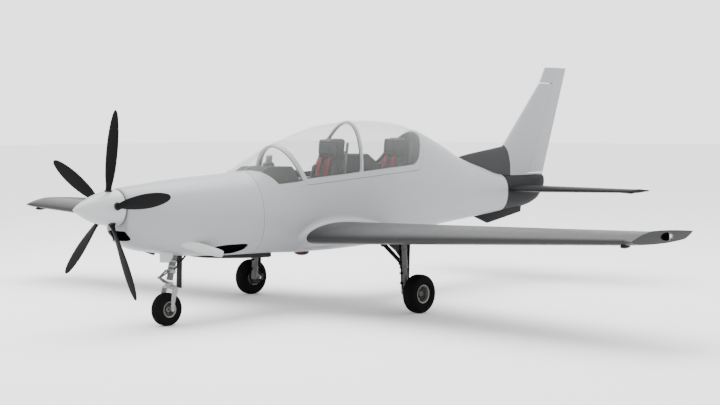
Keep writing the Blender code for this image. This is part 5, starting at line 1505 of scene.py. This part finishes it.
def makeCockpit():
    floor = cockpit["floor"]
    for word, key, wide in (("front", "frontCoaming", 1.0), ("rear", "rearCoaming", 0.24)):
        made = sidePrism(f"{word}Coaming", rounded(cockpit[key], [0.02] * len(cockpit[key])), -wide, wide)
        carve(made, ("INTERSECT", solidHull(f"{word}CoamingRoom", 1.90, 4.50, cockpit["inset"])))
        finishPiece(made, "coaming", replaces=f"{word}_coaming")
    piece("pedestal", plate("pedestal", cockpit["pedestal"], -0.09, 0.09, 0.008), "sidewall")
    makePanel("front", 2.603, 1.450, 1.745, 0.36, [(-0.22, 1.575, 0.085, 0.075), (0.0, 1.575, 0.085, 0.075),
                                                   (0.22, 1.575, 0.085, 0.075)])
    makePanel("rear", 4.263, 1.465, 1.735, 0.22, [(-0.105, 1.580, 0.080, 0.070),
                                                  (0.105, 1.580, 0.080, 0.070)])
    joined("headUpUnit", [softBox("h", at(2.42, -0.055, 1.780), at(2.52, 0.055, 1.832), 0.010)]
           + [rod("h", at(2.462, side * 0.047, 1.82), at(2.492, side * 0.047, 1.915), 0.0045)
              for side in (-1, 1)], "coaming",
           replaces="head_up_display")
    joined("headUpShroud", [softBox("h", at(2.462, -0.046, 1.826), at(2.500, 0.046, 1.921), 0.018)],
           "gearGrey")
    piece("headUpGlass", plate("headUpGlass", [(2.455, 1.835), (2.460, 1.835), (2.498, 1.922),
                                               (2.493, 1.924)],
                               -0.043, 0.043, 0.001, 1), "glass")
    start, end, inner, top = cockpit["console"]
    for side, word in ((-1, "left"), (1, "right")):
        y = spanOn(side, inner, 0.80)
        made = loose(f"console_{word}", softBox(f"console_{word}", at(start, y[0], floor + 0.002),
                                                at(end, y[1], top), 0.012))
        carve(made, ("INTERSECT", solidHull(f"consoleRoom_{word}", 2.4, 5.2, cockpit["inset"])))
        finishPiece(made, "sidewall", replaces=f"side_console_{word}")
        panels, knobs, marks = [], [], []
        for hip in cockpit["hips"].values():
            for k in range(4):
                x = hip - 0.55 + 0.165 * k
                panels.append(softBox("p", at(x, side * 0.385 - 0.060, top - 0.002),
                                      at(x + 0.150, side * 0.385 + 0.060, top + 0.006), 0.003, 2))
                for j in range(3):
                    base = at(x + 0.030 + 0.045 * j, side * (0.365 + 0.030 * (j % 2)), top)
                    knobs.append(rod("k", base, base + Vector((0, 0, 0.022)), 0.008, 0.006, 16))
                    marks.append(softBox("m", at(x + 0.024 + 0.045 * j, side * 0.420 - 0.003, top + 0.004),
                                         at(x + 0.036 + 0.045 * j, side * 0.420 + 0.003, top + 0.0075), 0.001,
                                         1))
            if side < 0:
                foot = at(hip - 0.30, -0.330, top - 0.01)
                knobs.append(rod("l", foot, foot + Vector((-0.03, 0, 0.085)), 0.007))
                knobs.append(softBox("l", foot + Vector((-0.062, -0.022, 0.075)),
                                     foot + Vector((-0.006, 0.022, 0.118)), 0.010))
        joined(f"consolePanels_{word}", panels, "coaming")
        joined(f"consoleKnobs_{word}", knobs, "knob")
        joined(f"consoleMarks_{word}", marks, "markWhite")
    for word, hip in cockpit["hips"].items():
        base = at(hip - 0.50, 0, floor)
        boot = turn("boot", cockpit["stickBoot"], base, (0, 0, 1), 40)
        joined(f"{word}Stick", [rod("s", base, base + Vector((0.02, 0, 0.34)), 0.013, 0.011), boot],
               "gearGrey")
        grip = turn("grip", cockpit["grip"], base + Vector((0.019, 0, 0.325)), (0.05, 0, 1), 32)
        joined(f"{word}StickGrip", [grip], "knob")
        pedals = []
        for side in (-1, 1):
            for y in (0.09, 0.17):
                pedals.append(rod("p", at(hip - 0.86, side * y, floor),
                                  at(hip - 0.90, side * y, floor + 0.22),
                                  0.008, segments=16))
            pedals.append(softBox("p", at(hip - 0.905, side * 0.13 - 0.055, floor + 0.13),
                                  at(hip - 0.880, side * 0.13 + 0.055, floor + 0.25), 0.006))
        if word == "front":
            joined(f"{word}Pedals", pedals, "gearDark")
        makeSeat(word, hip)


makeCockpit()
print("cockpit made")


# Trim inside the glasshouse, hinge knuckles on the canopy, and finishes on the CAD nodes that stay in view.
trim = {
    "wall": 0.010, "step": 0.006, "knuckle": 0.0098, "halfLength": 0.011,
    "kept": {"cockpit_floor": "sidewall", "rear_bulkhead": "sidewall", "canopy_hinge_pin_front": "chrome",
             "canopy_hinge_pin_rear": "chrome",
             "engine_block": "gearDark"},
}


def makeTrim(windows):
    half, step = canopy["gap"] / 2, trim["step"]

    def openEdge(z):
        return leaning("arch", z, half + 0.004)

    lining = frameSkin("canopyLining", hull["frameWall"] + 0.0006, trim["wall"])
    body = sideOutline(openEdge, lambda z: leaning("rear", z, canopy["rearFrame"] - 0.006),
                       lambda x: heightLine("sill", x, 0.006))
    carve(lining, ("INTERSECT", sidePrism("t1", body)))
    for front, rear, radii in windows.values():
        side = sideOutline(lambda z: front(z) + step, lambda z: rear(z) - step,
                           lambda x: heightLine("glass", x, step), radii)
        carve(lining, ("DIFFERENCE", sidePrism("t2", side)))
    finishPiece(lining, "lining", "canopy")
    for end in ("front", "rear"):
        pin = frame["nodes"][f"canopy_hinge_pin_{end}"]
        corners = [pin.matrix_world @ vertex.co for vertex in pin.data.vertices]
        middle = sum(corners, Vector()) / len(corners)
        outer, half = trim["knuckle"], trim["halfLength"]
        ring = [(outer * 0.62, -half), (outer, -half), (outer, half), (outer * 0.62, half)]
        knuckle = turn(f"knuckle_{end}", ring, middle, (1, 0, 0), 40, closed=True)
        web = softBox(f"web_{end}", middle + Vector((-half, -0.030, -0.003)),
                      middle + Vector((half, -0.0085, 0.005)), 0.002)
        joined(f"hingeKnuckle_{end}", [knuckle, web], "gearGrey", "canopy")
    for name, finish in trim["kept"].items():
        for slot in frame["nodes"][name].material_slots:
            slot.material = materials[finish]


makeTrim(glassWindows)
print("trim made")


# Studio: floor, light and camera.
studio = {
    "camera": (-9.6005, -12.4263, 2.311), "yaw": 47.87, "pitch": -3.22, "roll": -0.16,
    "focal": 1412.65, "pictureWidth": 720, "sensor": 36, "far": 500,
    "world": 2.5, "floor": 0.86, "floorRough": 0.9, "floorSize": 120,
    "topBox": dict(place=(4.0, 1.5, 12.0), target=(4.2, 0.2, 0.0), size=(14, 10), power=2600),
}


def makeStudio():
    scene = bpy.context.scene
    camera = bpy.data.objects.new("camera", bpy.data.cameras.new("camera"))
    scene.collection.objects.link(camera)
    yaw, pitch, roll = (math.radians(studio[key]) for key in ("yaw", "pitch", "roll"))
    forward = Vector((math.sin(yaw) * math.cos(pitch), math.cos(yaw) * math.cos(pitch), math.sin(pitch)))
    right = forward.cross(Vector((0, 0, 1))).normalized()
    up = right.cross(forward)
    right, up = right * math.cos(roll) + up * math.sin(roll), up * math.cos(roll) - right * math.sin(roll)
    turnTo = Matrix((right, up, -forward)).transposed().to_4x4()
    camera.matrix_world = Matrix.Translation(at(*studio["camera"])) @ turnTo
    camera.data.sensor_width = studio["sensor"]
    camera.data.lens = studio["focal"] * studio["sensor"] / studio["pictureWidth"]
    camera.data.clip_end = studio["far"]
    scene.camera = camera

    def build(shape):
        bmesh.ops.create_grid(shape, x_segments=1, y_segments=1, size=studio["floorSize"])
    floor = loose("studioFloor", meshFrom("studioFloor", build))
    ground = bpy.data.materials.new("studioFloor")
    ground.use_nodes = True
    paint = ground.node_tree.nodes["Principled BSDF"]
    paint.inputs["Base Color"].default_value = (studio["floor"],) * 3 + (1,)
    paint.inputs["Roughness"].default_value = studio["floorRough"]
    paint.inputs["Specular IOR Level"].default_value = 0.0
    floor.data.materials.append(ground)
    floor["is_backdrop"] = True
    world = bpy.data.worlds.new("studio")
    world.use_nodes = True
    world.node_tree.nodes["Background"].inputs["Color"].default_value = (1, 1, 1, 1)
    world.node_tree.nodes["Background"].inputs["Strength"].default_value = studio["world"]
    scene.world = world

    box = studio["topBox"]
    lamp = bpy.data.lights.new("topBox", "AREA")
    lamp.shape = "RECTANGLE"
    lamp.size, lamp.size_y = box["size"]
    lamp.energy = box["power"]
    made = bpy.data.objects.new("topBox", lamp)
    scene.collection.objects.link(made)
    made.location = at(*box["place"])
    made.rotation_mode = "QUATERNION"
    made.rotation_quaternion = (at(*box["target"]) - at(*box["place"])).to_track_quat("-Z", "Y")


makeStudio()
low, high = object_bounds()
